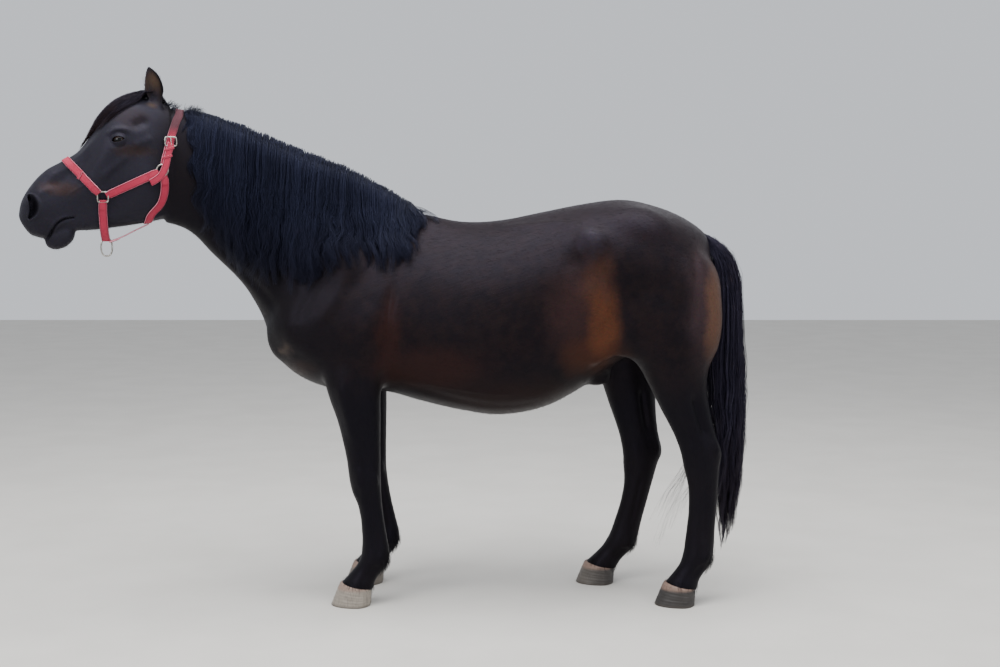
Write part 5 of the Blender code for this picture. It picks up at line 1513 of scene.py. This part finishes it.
def tufts(name, count, weigh, length, lift, halfWidth, stations=3, side=0.25, lie=None, soft=0.9):
    # each tuft rises from the skin, bends over and lies along the coat or the given direction
    spots, normals, unwrapped = skinSpots(count, weigh)
    flow = growthAt(spots) if lie is None else np.tile(lie, (count, 1))
    flow = flow - normals * (flow * normals).sum(1)[:, None]
    flow /= np.linalg.norm(flow, axis=1, keepdims=True) + 1e-9
    flow = unit(flow + np.cross(normals, flow) * seeded.normal(0, side, count)[:, None])
    reach = (length(spots) if callable(length) else length) * seeded.uniform(0.6, 1.25, count)
    rise = (lift(spots) if callable(lift) else lift) * seeded.uniform(0.5, 1.3, count)
    t = np.linspace(0, 1, stations)
    paths = spots[:, None] - normals[:, None] * 0.0006 + flow[:, None] * (reach[:, None] * t)[:, :, None]
    paths = paths + normals[:, None] * ((0.0006 + rise[:, None]) * np.sin(t * 1.9))[:, :, None]
    widths = halfWidth * seeded.uniform(0.7, 1.3, count)[:, None] * (1 - 0.85 * t)[None] ** 0.7
    return strands(name, paths, widths, 0.35, np.repeat(normals[:, None], stations, 1), unwrapped, soft)


shortCoat = {
    "pieces": 3,
    "tufts": 14000,
    "halfWidth": 0.00048,
    "length": (0.0040, 0.0140),  # on the face and feet, and on the body
    "lift": (0.0002, 0.0007),
}


def coatLength(points):
    low, high = shortCoat["length"]
    share = smoothStep(points[:, 0], -0.98, -0.75) * smoothStep(points[:, 2], 0.12, 0.60)
    return low + (high - low) * share


def coatLift(points):
    low, high = shortCoat["lift"]
    return low + (high - low) * smoothStep(coatLength(points), 0.005, 0.014)


def everywhere(points, normals):
    return bareShare(points) * (1.0 + 1.5 * (1 - smoothStep(points[:, 0], -0.98, -0.88)))


def onFeather(points, normals):
    # behind the fetlocks and at the coronets
    x, y, z = points.T
    legs = np.zeros(len(points))
    for chain in legChains.values():
        fetlock, coronet = np.array(chain[-2]), np.array(chain[-1])
        behind = smoothStep(x - fetlock[0], 0.008, 0.035) * np.exp(-((z - fetlock[2] + 0.01) / 0.035)**2)
        around = np.exp(-((z - coronet[2] - 0.012 + 0.2 * (x - coronet[0])) / 0.008)**2) * 0.5
        near = smoothStep(0.12 - np.hypot(x - fetlock[0], y - fetlock[1]), 0, 0.02)
        legs = np.maximum(legs, near * (behind + around))
    return legs


def onUnderside(points, normals):
    # under the jaw and along the belly's midline
    x, _, z = points.T
    jaw = (x < -0.93) * smoothStep(-normals[:, 2], 0.5, 0.85) * (z < 1.3)
    belly = smoothStep(-normals[:, 2], 0.75, 0.95) * (x > -0.75) * (x < 0.35) * (z > 0.55)
    return bareShare(points) * (2.0 * jaw + belly)


def inEars(points, normals):
    # long soft hair in the cup of each ear and round its edges
    weight = np.zeros(len(points))
    for hand in (1, -1):
        facing = headAhead * 0.36 + headLeft * hand * 0.93
        middle = headPoint(0.042, 0.040, 0.050 * hand)
        near = np.linalg.norm((points - middle) * np.array([1, 1, 0.55]), axis=1) < 0.030
        near = near * (points[:, 2] > head["poll"][2])
        weight = np.maximum(weight, near * smoothStep(normals @ facing, 0.3, 0.8))
    return weight


def onPoll(points, normals):
    # short upright hair either side of the crown strap
    x, y, _ = points.T
    strip = (np.abs(x + 0.960) < 0.020) + 0.8 * (np.abs(x + 1.019) < 0.011)
    return strip * (np.abs(y - np.interp(-x, *middleOfNeck)) < 0.032) * smoothStep(normals[:, 2], 0.45, 0.8)


# longer hair: number of tufts, where, length, lift, half width, stations, how far they stray
# sideways, the way they lie (None is along the coat), share of the skin's shading
longerTufts = {
    "pony_feather": (1500, onFeather, 0.026, 0.005, 0.0006, 5, 0.2, (0.30, 0.0, -1.0), 0.9),
    "pony_under_hair": (2400, onUnderside, 0.015, 0.003, 0.0004, 4, 0.35, None, 0.9),
    "pony_ear_hair": (900, inEars, 0.016, 0.003, 0.0003, 4, 0.3, upward * 0.9 + headAhead * 0.35, 0.9),
    "pony_poll_hair": (420, onPoll, 0.030, 0.017, 0.0005, 5, 0.45, (0.8, -0.45, 0.2), 0.2),
}

print("hair: short coat")
coatPieces = [tufts(f"pony_coat_{piece}", shortCoat["tufts"], everywhere, coatLength, coatLift,
                    shortCoat["halfWidth"]) for piece in range(shortCoat["pieces"])]
coatPieces += [tufts(name, *settings) for name, settings in longerTufts.items()]


def hexColour(text):
    # sRGB hex to the linear colour that the shader wants
    values = [int(text[k:k + 2], 16) / 255 for k in (1, 3, 5)]
    return (*[v / 12.92 if v <= 0.04045 else ((v + 0.055) / 1.055) ** 2.4 for v in values], 1.0)


def setNode(tree, node, settings):
    # a socket, by name or number, takes a value, a hex colour or another node's output;
    # any other key is one of the node's own settings
    for key, value in settings.items():
        if isinstance(value, bpy.types.NodeSocket):
            tree.links.new(value, node.inputs[key])
        elif isinstance(key, int) or key in node.inputs:
            node.inputs[key].default_value = hexColour(value) if isinstance(value, str) else value
        else:
            setattr(node, key, value)


def addNode(tree, kind, settings, output=0):
    node = tree.nodes.new("ShaderNode" + kind)
    setNode(tree, node, settings)
    return node.outputs[output]


def newMaterial(name):
    material = bpy.data.materials.new(name)
    material.use_nodes = True
    return material, material.node_tree, material.node_tree.nodes["Principled BSDF"]


def stepped(pattern, low, high, least=0.0, most=1.0):
    # settings that turn a pattern's values, from low to high, into least to most
    return {"interpolation_type": "SMOOTHSTEP", 0: pattern, 1: low, 2: high, 3: least, 4: most}


def where(tree, *spans):
    # 1 where each (pattern, low, high) is past its high value, 0 where one is short of its low one
    share = addNode(tree, "MapRange", stepped(*spans[0]))
    for span in spans[1:]:
        inside = addNode(tree, "MapRange", stepped(*span))
        share = addNode(tree, "Math", {"operation": "MULTIPLY", 0: share, 1: inside})
    return share


def painted(tree, colour, layers):
    # each layer's tint covers the colour, by up to `most`, as its pattern goes from low to high
    for pattern, low, high, most, tint in layers:
        share = addNode(tree, "MapRange", stepped(pattern, low, high, 0.0, most))
        colour = addNode(tree, "Mix", {"data_type": "RGBA", 0: share, 6: colour, 7: tint}, 2)
    return colour


# the coat: two shades of black-brown on the legs and neck, two warmer ones on the trunk
darkBay = {
    "legs": ("#0a090b", "#110e0e"),
    "trunk": ("#0f0b0b", "#17100e"),
    "head": "#232229",
    "paintedTopSheen": "#1e171b",
    "nostrilShade": "#030203",
    "inEar": "#5c4a3b",
    "sheen": "#9a9bb8",
    "gloss": "#d3cbf0",
    "wander": 0.075,  # how far the edges of the markings stray
    "hairs": (0.022, 0.0016),  # length and width of a hair, drawn wide enough to show
    "clumps": (0.060, 0.007),
}
# markings of the coat and one painted highlight, on both sides: middle (x, height), half lengths
# along the body, across it and upward, colour, strength
coatMarkingsAndHighlight = (
    ((0.250, 0.930), (0.130, 0.30, 0.170), "#2f1f1c", 0.70),  # brown, then rust, flank by the thigh
    ((0.285, 0.800), (0.110, 0.30, 0.080), "#3a2114", 0.80),
    ((0.306, 1.000), (0.060, 0.30, 0.145), "#3a2419", 0.68),
    ((0.318, 0.895), (0.054, 0.30, 0.115), "#4f2e1b", 0.80),
    ((0.634, 0.960), (0.070, 0.16, 0.200), "#3a2c2d", 0.60),  # mauve, then tan, edge of the buttock
    ((0.667, 0.935), (0.040, 0.16, 0.160), "#5c4232", 0.66),
    ((0.275, 1.165), (0.040, 0.30, 0.055), "#312c34", 0.50),  # painted highlight: grey over the point of the hip
    ((-0.345, 0.850), (0.050, 0.30, 0.150), "#24130d", 0.85),  # reddish behind the elbow
    ((-0.210, 0.760), (0.200, 0.30, 0.080), "#25140e", 0.80),
    ((0.060, 0.650), (0.330, 0.24, 0.090), "#1d110b", 0.75),  # brown lower belly
    ((-0.660, 0.835), (0.044, 0.145, 0.070), "#96806f", 0.85),  # pale tan strip on the breast
    ((-0.610, 0.765), (0.080, 0.14, 0.045), "#44322a", 0.65),
)
# the same on the head: (ahead, above), half lengths ahead, sideways and upward
faceMarkings = (
    ((0.325, -0.262), (0.060, 0.30, 0.028), "#2f221d", 0.75),  # brown side of the muzzle
    ((0.105, -0.150), (0.066, 0.30, 0.026), "#2a1f1a", 0.70),  # brown behind the eye, on the temple
    ((0.110, -0.050), (0.060, 0.30, 0.034), "#231c1b", 0.60),
    ((0.400, -0.335), (0.060, 0.30, 0.060), "#1e1d22", 0.60),  # grey skin round the nostril
    ((0.350, -0.400), (0.050, 0.30, 0.045), "#1c1b1f", 0.50),
)
markingEdge = (1.25, 0.35)  # a marking fades in between these shares of its half lengths


def fromSpot(tree, coordinates, middle, reach):
    # distance from the middle of a spot, 1 at its reach
    offset = addNode(tree, "VectorMath", {"operation": "SUBTRACT", 0: coordinates, 1: middle})
    share = addNode(tree, "VectorMath", {"operation": "DIVIDE", 0: offset, 1: reach})
    return addNode(tree, "VectorMath", {"operation": "LENGTH", 0: share}, "Value")


def coatPlaces(tree):
    # the place, (x, distance from the middle plane, z) of the body, (ahead, side, above) of the
    # head, and the body's x and z alone
    place = addNode(tree, "TexCoord", {}, "Object")
    centred = addNode(tree, "VectorMath", {"operation": "SUBTRACT", 0: place, 1: tuple(shift)})
    x, _, z = addNode(tree, "SeparateXYZ", {0: centred}).node.outputs
    folded = addNode(tree, "VectorMath", {"operation": "ABSOLUTE", 0: centred})
    body = addNode(tree, "CombineXYZ", {0: x, 1: addNode(tree, "SeparateXYZ", {0: folded}, 1), 2: z})
    fromPoll = addNode(tree, "VectorMath", {"operation": "SUBTRACT", 0: centred, 1: tuple(head["poll"])})
    ahead, side, above = (
        addNode(tree, "VectorMath", {"operation": "DOT_PRODUCT", 0: fromPoll, 1: tuple(direction)}, "Value")
        for direction in (headAhead, headLeft, upward))
    side = addNode(tree, "Math", {"operation": "ABSOLUTE", 0: side})
    return place, body, addNode(tree, "CombineXYZ", {0: ahead, 1: side, 2: above}), x, z


def coatColour(tree, place, body, onHead, x, z, nose):
    broad, fine = (
        addNode(tree, "TexNoise", {"Vector": place, "Scale": scale, "Detail": detail, "Roughness": 0.55})
        for scale, detail in ((2.2, 4), (26, 3)))
    onTrunk = (z, 0.62, 0.80), (x, -0.62, -0.40)
    colour = painted(tree, darkBay["legs"][0], [(broad, 0.35, 0.68, 1.0, darkBay["legs"][1])])
    warm = painted(tree, darkBay["trunk"][0], [(fine, 0.3, 0.7, 1.0, darkBay["trunk"][1])])
    colour = addNode(tree, "Mix", {"data_type": "RGBA", 0: where(tree, *onTrunk), 6: colour, 7: warm}, 2)
    colour = painted(tree, colour, [(x, -1.00, -1.07, 0.8, darkBay["head"])])
    # painted sheen: the top of the trunk is painted greyer, where the back faces the sky
    share = where(tree, (z, 1.05, 1.28), *onTrunk)
    share = addNode(tree, "Math", {"operation": "MULTIPLY", 0: share, 1: 0.6})
    colour = addNode(tree, "Mix", {"data_type": "RGBA", 0: share, 6: colour, 7: darkBay["paintedTopSheen"]}, 2)
    # the markings' edges wander with a noise
    stray = addNode(tree, "TexNoise", {"Vector": place, "Scale": 8.5, "Detail": 5, "Roughness": 0.62}, 1)
    wander = darkBay["wander"]
    stray = addNode(tree, "VectorMath", {"operation": "MULTIPLY_ADD", 0: stray, 1: (wander,) * 3,
                                         2: (-wander / 2,) * 3})
    bodyAt, headAt = (addNode(tree, "VectorMath", {"operation": "ADD", 0: coordinates, 1: stray})
                      for coordinates in (body, onHead))
    # a marking that reaches less far across lies on the middle plane, the others on the sides
    layers = [(fromSpot(tree, bodyAt, (along, 0.0 if reach[1] < 0.15 else 0.16, height), reach),
               *markingEdge, strength, tint) for (along, height), reach, tint, strength in coatMarkingsAndHighlight]
    layers += [(fromSpot(tree, headAt, (ahead, 0.06, above), reach), *markingEdge, strength, tint)
               for (ahead, above), reach, tint, strength in faceMarkings]
    # painted shade makes the inside of the nostrils nearly black, and the cup of the ears is a light brown
    layers.append((nose, *markingEdge, 0.97, darkBay["nostrilShade"]))
    ear = fromSpot(tree, onHead, (0.048, 0.051, 0.040), (0.025, 0.0135, 0.058))
    layers.append((ear, *markingEdge, 0.95, darkBay["inEar"]))
    return painted(tree, colour, layers)


def hairGrain(tree, place, x, z, size):
    # streaks of hair the way the coat lies: back on the trunk, down the legs, slanting on neck and face
    length, width = size
    stretch = (1 / length, 1 / width, 1 / width)
    trunk, legs, neck, face = (
        addNode(tree, "TexNoise", {
            "Vector": addNode(tree, "VectorMath", {
                "operation": "MULTIPLY", 1: stretch,
                0: addNode(tree, "Mapping", {"Vector": place, "Rotation": (0, turn, 0)})}),
            "Scale": 1.0, "Detail": 3, "Roughness": 0.6})
        for turn in (0.33, 1.45, 0.82, -0.45))
    grain = trunk
    for spans, other in ((((x, -0.42, -0.60), (z, 0.80, 0.95)), neck), (((x, -0.90, -1.02),), face),
                         (((z, 0.78, 0.58),), legs)):
        grain = addNode(tree, "Mix", {0: where(tree, *spans), 2: grain, 3: other})
    return grain


def coatMaterial(name):
    # short dark bay coat: dull and dark, with a soft blue-grey gloss where light grazes the hair
    material, tree, shader = newMaterial(name)
    place, body, onHead, x, z = coatPlaces(tree)
    nose = fromSpot(tree, onHead, (0.397, 0.044, -0.318), (0.026, 0.020, 0.042))
    colour = coatColour(tree, place, body, onHead, x, z, nose)
    grain, clumps = (hairGrain(tree, place, x, z, darkBay[size]) for size in ("hairs", "clumps"))
    speckle = addNode(tree, "TexNoise", {"Vector": place, "Scale": 160, "Detail": 2, "Roughness": 0.7}, 1)
    grainGrey = addNode(tree, "CombineColor", {0: grain, 1: grain, 2: grain})
    for share, pattern in ((0.35, speckle), (0.30, grainGrey)):
        over = {"data_type": "RGBA", "blend_type": "OVERLAY", 0: 1.0, 6: colour, 7: pattern}
        over = addNode(tree, "Mix", over, 2)
        colour = addNode(tree, "Mix", {"data_type": "RGBA", 0: share, 6: colour, 7: over}, 2)
    # the nostrils are dull inside
    dull = addNode(tree, "Math", {"operation": "MULTIPLY", 0: where(tree, (nose, *markingEdge)), 1: 0.45})
    rough = addNode(tree, "MapRange", stepped(clumps, 0.2, 0.8, 0.38, 0.52))
    fineBump = addNode(tree, "Bump", {"Strength": 0.55, "Distance": 0.0006, "Height": grain})
    setNode(tree, shader, {
        "IOR": 1.45, "Specular IOR Level": 0.13, "Specular Tint": darkBay["gloss"],
        "Sheen Weight": 0.02, "Sheen Roughness": 0.4, "Sheen Tint": darkBay["sheen"],
        "Base Color": colour,
        "Roughness": addNode(tree, "Math", {"operation": "ADD", 0: rough, 1: dull}),
        "Normal": addNode(tree, "Bump", {"Strength": 0.40, "Distance": 0.0012, "Height": clumps,
                                         "Normal": fineBump}),
    })
    return material


# long hair: dark and light strands, and the tint of tips and sunlit locks
hairColours = {
    "blackManeHair": ("#0b0c12", "#1a1c2a", "#21202a"),
    "blackTailHair": ("#18151b", "#2c2833", "#3a3032"),
    "brownBlackForelock": ("#120d0e", "#241b1b", "#3a2a24"),
}


def hairMaterial(name):
    # long hair: glossy along its strands, a shade of its own for each strand
    material, tree, shader = newMaterial(name)
    dark, light, tip = hairColours[name]
    place = addNode(tree, "TexCoord", {}, "Object")
    each, along = (addNode(tree, "Attribute", {"attribute_name": key}, "Fac") for key in ("shade", "along"))
    locks = addNode(tree, "TexNoise", {"Vector": place, "Scale": 34, "Detail": 3, "Roughness": 0.55})
    # locks picked by a noise take the tip tint as a painted highlight; the tips themselves are browner
    colour = painted(tree, dark, [(each, 0.1, 0.9, 1.0, light), (locks, 0.55, 0.80, 0.5, tip),
                                  (along, 0.6, 1.0, 0.4, tip)])
    stretched = addNode(tree, "Mapping", {"Vector": place, "Scale": (2200, 2200, 60)})
    streak = addNode(tree, "TexNoise", {"Vector": stretched, "Scale": 1.0, "Detail": 2, "Roughness": 0.55})
    setNode(tree, shader, {
        "IOR": 1.45, "Specular IOR Level": 0.22, "Specular Tint": "#a9b2f2",
        "Sheen Weight": 0.05, "Sheen Roughness": 0.4, "Sheen Tint": "#8e95c4",
        "Base Color": colour,
        "Roughness": addNode(tree, "MapRange", stepped(each, 0.0, 1.0, 0.32, 0.48)),
        "Normal": addNode(tree, "Bump", {"Strength": 0.35, "Distance": 0.0003, "Height": streak}),
    })
    return material


def eyeMaterial(name):
    # wet dark eye: brown iris round a level pupil, under a clear coat that holds sharp highlights
    material, tree, shader = newMaterial(name)
    flat = addNode(tree, "UVMap", {"uv_map": "UVMap"})
    middle, scale = eyeball["uvMiddle"], 1 / eyeball["uvRadius"]
    offset = addNode(tree, "VectorMath", {"operation": "SUBTRACT", 0: flat, 1: (middle, middle, 0)})
    apart = addNode(tree, "VectorMath", {"operation": "MULTIPLY", 0: offset, 1: (scale, scale, 0)})
    wide = addNode(tree, "VectorMath", {"operation": "MULTIPLY", 0: apart, 1: (1.0, 2.1, 0)})
    fromMiddle, pupil = (addNode(tree, "VectorMath", {"operation": "LENGTH", 0: vector}, "Value")
                         for vector in (apart, wide))
    fibres = addNode(tree, "TexWave", {
        "wave_type": "RINGS", "rings_direction": "SPHERICAL", "Vector": apart, "Scale": 0.6,
        "Distortion": 9.0, "Detail": 3.0, "Detail Scale": 2.5}, "Fac")
    iris = addNode(tree, "Mix", {"data_type": "RGBA", 0: fibres, 6: "#120a07", 7: "#2a170d"}, 2)
    colour = painted(tree, "#030304", [
        (pupil, 0.50, 0.60, 1.0, iris),
        (fromMiddle, 0.70, 0.78, 1.0, "#0d0909"),
        (fromMiddle, 0.84, 0.97, 1.0, "#3a2a26"),
    ])
    setNode(tree, shader, {"Base Color": colour, "Roughness": 0.15, "IOR": 1.36,
                           "Specular IOR Level": 0.1, "Coat Weight": 0.35, "Coat Roughness": 0.02})
    return material


horn = {
    "fore": ("#9c9488", "#6f675e"),
    "hind": ("#2c2725", "#1b1816"),
    "offSide": "#3a3431",
    "coronet": "#8d7264",
    "ground": "#3c332b",
    "streaks": "#2a2522",
}


def hornMaterial(name):
    # hoof horn: pale on the near fore and grey-brown behind, a pinkish band under the coronet,
    # growth rings and scuffs
    material, tree, shader = newMaterial(name)
    place = addNode(tree, "TexCoord", {}, "Object")
    x, y, z = addNode(tree, "SeparateXYZ", {0: place}).node.outputs
    upright = addNode(tree, "Mapping", {"Vector": place, "Scale": (420, 420, 26)})
    level = addNode(tree, "Mapping", {"Vector": place, "Rotation": (0, 0.20, 0), "Scale": (4, 4, 330)})
    streaks, blotches, rings = (
        addNode(tree, "TexNoise", {"Vector": vector, "Scale": scale, "Detail": detail, "Roughness": 0.55})
        for vector, scale, detail in ((upright, 1.0, 3), (place, 34, 4), (level, 1.0, 2)))
    fore, hind = (addNode(tree, "Mix", {"data_type": "RGBA", 0: blotches, 6: pale, 7: dark}, 2)
                  for pale, dark in (horn["fore"], horn["hind"]))
    colour = painted(tree, fore, [
        (x, 0.5, 0.7, 1.0, hind), (y, 0.0, 0.05, 0.45, horn["offSide"]),
        (z, 0.046, 0.060, 0.75, horn["coronet"]), (z, 0.012, 0.0, 0.6, horn["ground"]),
        (streaks, 0.45, 0.75, 0.4, horn["streaks"]),
    ])
    ringBump = addNode(tree, "Bump", {"Strength": 0.6, "Distance": 0.0008, "Height": rings})
    setNode(tree, shader, {
        "IOR": 1.54, "Base Color": colour,
        "Roughness": addNode(tree, "MapRange", stepped(blotches, 0.3, 0.7, 0.42, 0.66)),
        "Normal": addNode(tree, "Bump", {"Strength": 0.3, "Distance": 0.0004, "Height": streaks,
                                         "Normal": ringBump}),
    })
    return material


web = {
    "red": ("#e02e5a", "#ee5878"),
    "shadow": "#a31a3a",
    "gapShade": "#7a1029",
    "stitchLine": "#6b1830",
    "wornEdge": "#ea9fb0",
    "upperStrapDark": "#2c0f1b",
    "sheen": "#ffc3cf",
    "width": 0.0244,
    "ribs": 330.0,  # ribs and threads are 1.3 and 1.7 mm apart, drawn coarse enough to show
    "threads": 190.0,
}


def webMaterial(name):
    # woven webbing: matt twill ribs, paler worn edges, darker thread beside the rows of stitches
    material, tree, shader = newMaterial(name)
    uv = addNode(tree, "UVMap", {"uv_map": "weave"})
    place = addNode(tree, "TexCoord", {}, "Object")
    aside = addNode(tree, "Math", {"operation": "SUBTRACT", 0: addNode(tree, "SeparateXYZ", {0: uv}), 1: 0.5})
    aside = addNode(tree, "Math", {"operation": "ABSOLUTE", 0: aside})
    aside = addNode(tree, "Math", {"operation": "MULTIPLY", 0: aside, 1: 2.0})
    wear = addNode(tree, "TexNoise", {"Vector": place, "Scale": 60, "Detail": 4, "Roughness": 0.55})
    inMetres = addNode(tree, "VectorMath", {"operation": "MULTIPLY", 0: uv, 1: (web["width"], 1.0, 1.0)})
    ribs = addNode(tree, "TexWave", {"Vector": inMetres, "bands_direction": "DIAGONAL", "Scale": web["ribs"],
                                     "Distortion": 0.6, "Detail": 1.0}, "Fac")
    cross = addNode(tree, "TexWave", {"Vector": inMetres, "bands_direction": "X", "Scale": web["threads"],
                                      "Distortion": 0.3}, "Fac")
    cross = addNode(tree, "Math", {"operation": "ADD", 0: cross, 1: 0.6})
    weave = addNode(tree, "Math", {"operation": "MULTIPLY", 0: ribs, 1: cross})
    red = painted(tree, web["red"][0], [(wear, 0.3, 0.7, 1.0, web["red"][1])])
    # painted shade: the weave's low places take the shadow colour, and the gaps between threads darker still
    raised = addNode(tree, "MapRange", stepped(weave, 0.2, 1.3, 0.0, 0.35))
    colour = addNode(tree, "Mix", {"data_type": "RGBA", 0: raised, 6: web["shadow"], 7: red}, 2)
    colour = painted(tree, colour, [(weave, 1.2, 0.3, 0.30, web["gapShade"])])
    line = addNode(tree, "Math", {"operation": "MULTIPLY", 1: 0.75,
                                  0: where(tree, (aside, 0.66, 0.72), (aside, 0.86, 0.80))})
    colour = addNode(tree, "Mix", {"data_type": "RGBA", 0: line, 6: colour, 7: web["stitchLine"]}, 2)
    # the straps are darker above this height, over the crown strap's upper part
    height = addNode(tree, "SeparateXYZ", {0: place}, 2)
    colour = painted(tree, colour, [(aside, 0.90, 0.96, 0.8, web["wornEdge"]),
                                    (height, 1.46, 1.51, 0.92, web["upperStrapDark"])])
    setNode(tree, shader, {
        "Roughness": 0.72, "IOR": 1.45, "Base Color": colour,
        "Sheen Weight": 0.08, "Sheen Roughness": 0.5, "Sheen Tint": web["sheen"],
        "Normal": addNode(tree, "Bump", {"Strength": 0.7, "Distance": 0.0005, "Height": weave}),
    })
    return material


# matt cloths and the painted floor: two shades, roughness, scale of the fuzz
cloths = {
    "blackLining": ("#141316", "#241f24", 0.9, 700),
    "maroonThread": ("#5a1526", "#7d2a3e", 0.7, 1500),
    "paleFloor": ("#cbc8c2", "#c6c3bd", 0.85, 3),
}


def clothMaterial(name):
    # felted or twisted thread, matt all over with a faint fuzz
    material, tree, shader = newMaterial(name)
    colour, other, roughness, scale = cloths[name]
    place = addNode(tree, "TexCoord", {}, "Object")
    fuzz = addNode(tree, "TexNoise", {"Vector": place, "Scale": scale, "Detail": 3, "Roughness": 0.55})
    setNode(tree, shader, {
        "Roughness": roughness, "IOR": 1.45,
        "Base Color": painted(tree, colour, [(fuzz, 0.3, 0.7, 1.0, other)]),
        "Normal": addNode(tree, "Bump", {"Strength": 0.5, "Distance": 0.0003, "Height": fuzz}),
    })
    return material


def steelMaterial(name):
    # nickel-plated steel: a soft metallic shine, rubbed darker and duller in places
    material, tree, shader = newMaterial(name)
    place = addNode(tree, "TexCoord", {}, "Object")
    wear = addNode(tree, "TexNoise", {"Vector": place, "Scale": 120, "Detail": 4, "Roughness": 0.55})
    setNode(tree, shader, {
        "Metallic": 1.0,
        "Base Color": painted(tree, "#b9b6b0", [(wear, 0.35, 0.7, 1.0, "#6d6860")]),
        "Roughness": addNode(tree, "MapRange", stepped(wear, 0.3, 0.7, 0.24, 0.5)),
        "Normal": addNode(tree, "Bump", {"Strength": 0.25, "Distance": 0.0002, "Height": wear}),
    })
    return material


print("materials")
coat = coatMaterial("darkBayCoat")
blackHair, tailBlack, brownHair = (hairMaterial(name) for name in hairColours)
flesh = ("head", "neck", "trunk", "front_leg_left", "front_leg_right", "hind_leg_left", "hind_leg_right",
         "ear_left", "ear_right")
hoofNodes = ("front_hoof_left", "front_hoof_right", "hind_hoof_left", "hind_hoof_right")
strapNodes = ("noseband", "crown_strap", "throat_strap", "jaw_strap", "link_strap", "cheek_strap_left",
              "cheek_strap_right")
metalNodes = ("nose_ring_left", "nose_ring_right", "side_ring_left", "side_ring_right", "chin_ring",
              "buckle")
# each piece with its material, a slot name and the nodes it stands for
finished = [
    (hide, coat, "coat", flesh),
    *((piece, blackHair, "long_hair", ("mane",)) for piece in maneHair),
    *((piece, tailBlack, "long_hair", ("tail",)) for piece in tailHair),
    (foreHair, brownHair, "long_hair", ("forelock",)),
    (eyes, eyeMaterial("wetDarkEye"), "eye", ("eye_left", "eye_right")),
    (hooves, hornMaterial("hoofHorn"), "hoof_horn", hoofNodes),
    (webbing, webMaterial("redWebbing"), "webbing", ["headcollar_" + name for name in strapNodes]),
    (lining, clothMaterial("blackLining"), "webbing", ()),
    (stitching, clothMaterial("maroonThread"), "webbing", ()),
    (metal, steelMaterial("dullSteel"), "steel", ["headcollar_" + name for name in metalNodes]),
    *((piece, coat, "coat", ()) for piece in coatPieces[:-1]),
    (coatPieces[-1], blackHair, "long_hair", ()),
]
for piece, material, slot, nodes in finished:
    piece.data.materials.clear()
    piece.data.materials.append(material)
    shadeSmooth(piece)
    settled(piece)
    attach(piece, "root")
    if nodes:
        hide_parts(*nodes)
    print("  ", piece.name, len(piece.data.polygons))

camera = {"away": 4.6, "height": 1.242, "down": 4.83, "lens": 51.34}
bpy.ops.object.camera_add(
    location=(shift[0], shift[1] - camera["away"], camera["height"]),
    rotation=(math.radians(90 - camera["down"]), 0, 0),
)
bpy.context.object.data.lens = camera["lens"]
bpy.context.object.data.sensor_width = 36
bpy.context.scene.camera = bpy.context.object

# soft boxes: place, the point they aim at, size, watts
lights = {
    "overheadLight": ((0.2, -0.8, 4.2), (0.1, 0.1, 0.8), (5.0, 3.4), 340),
    "keyLight": ((-3.4, -4.0, 2.9), (0.0, 0.0, 0.8), (2.6, 2.0), 100),
    "fillLight": ((3.8, -3.6, 1.8), (0.2, 0.0, 0.7), (2.4, 2.0), 35),
    "rimLight": ((2.4, 3.8, 3.0), (0.2, 0.0, 0.9), (2.8, 1.6), 9),
}
studio = {"sky": "#e9edf4", "strength": 0.9, "floorSize": 24}
print("camera, lights and floor")
for name, (place, aim, size, power) in lights.items():
    bpy.ops.object.light_add(type="AREA", location=place)
    light = bpy.context.object
    light.name = name
    light.data.shape = "RECTANGLE"
    light.data.size, light.data.size_y = size
    light.data.energy = power
    light.rotation_euler = (Vector(aim) - Vector(place)).to_track_quat("-Z", "Y").to_euler()

world = bpy.data.worlds.new("paleStudio")
bpy.context.scene.world = world
world.use_nodes = True
background = world.node_tree.nodes["Background"]
setNode(world.node_tree, background, {"Color": studio["sky"], "Strength": studio["strength"]})

bpy.ops.mesh.primitive_plane_add(size=studio["floorSize"], location=(0, 0, 0))
floor = bpy.context.object
floor.name = "studio_floor"
floor.data.materials.append(clothMaterial("paleFloor"))
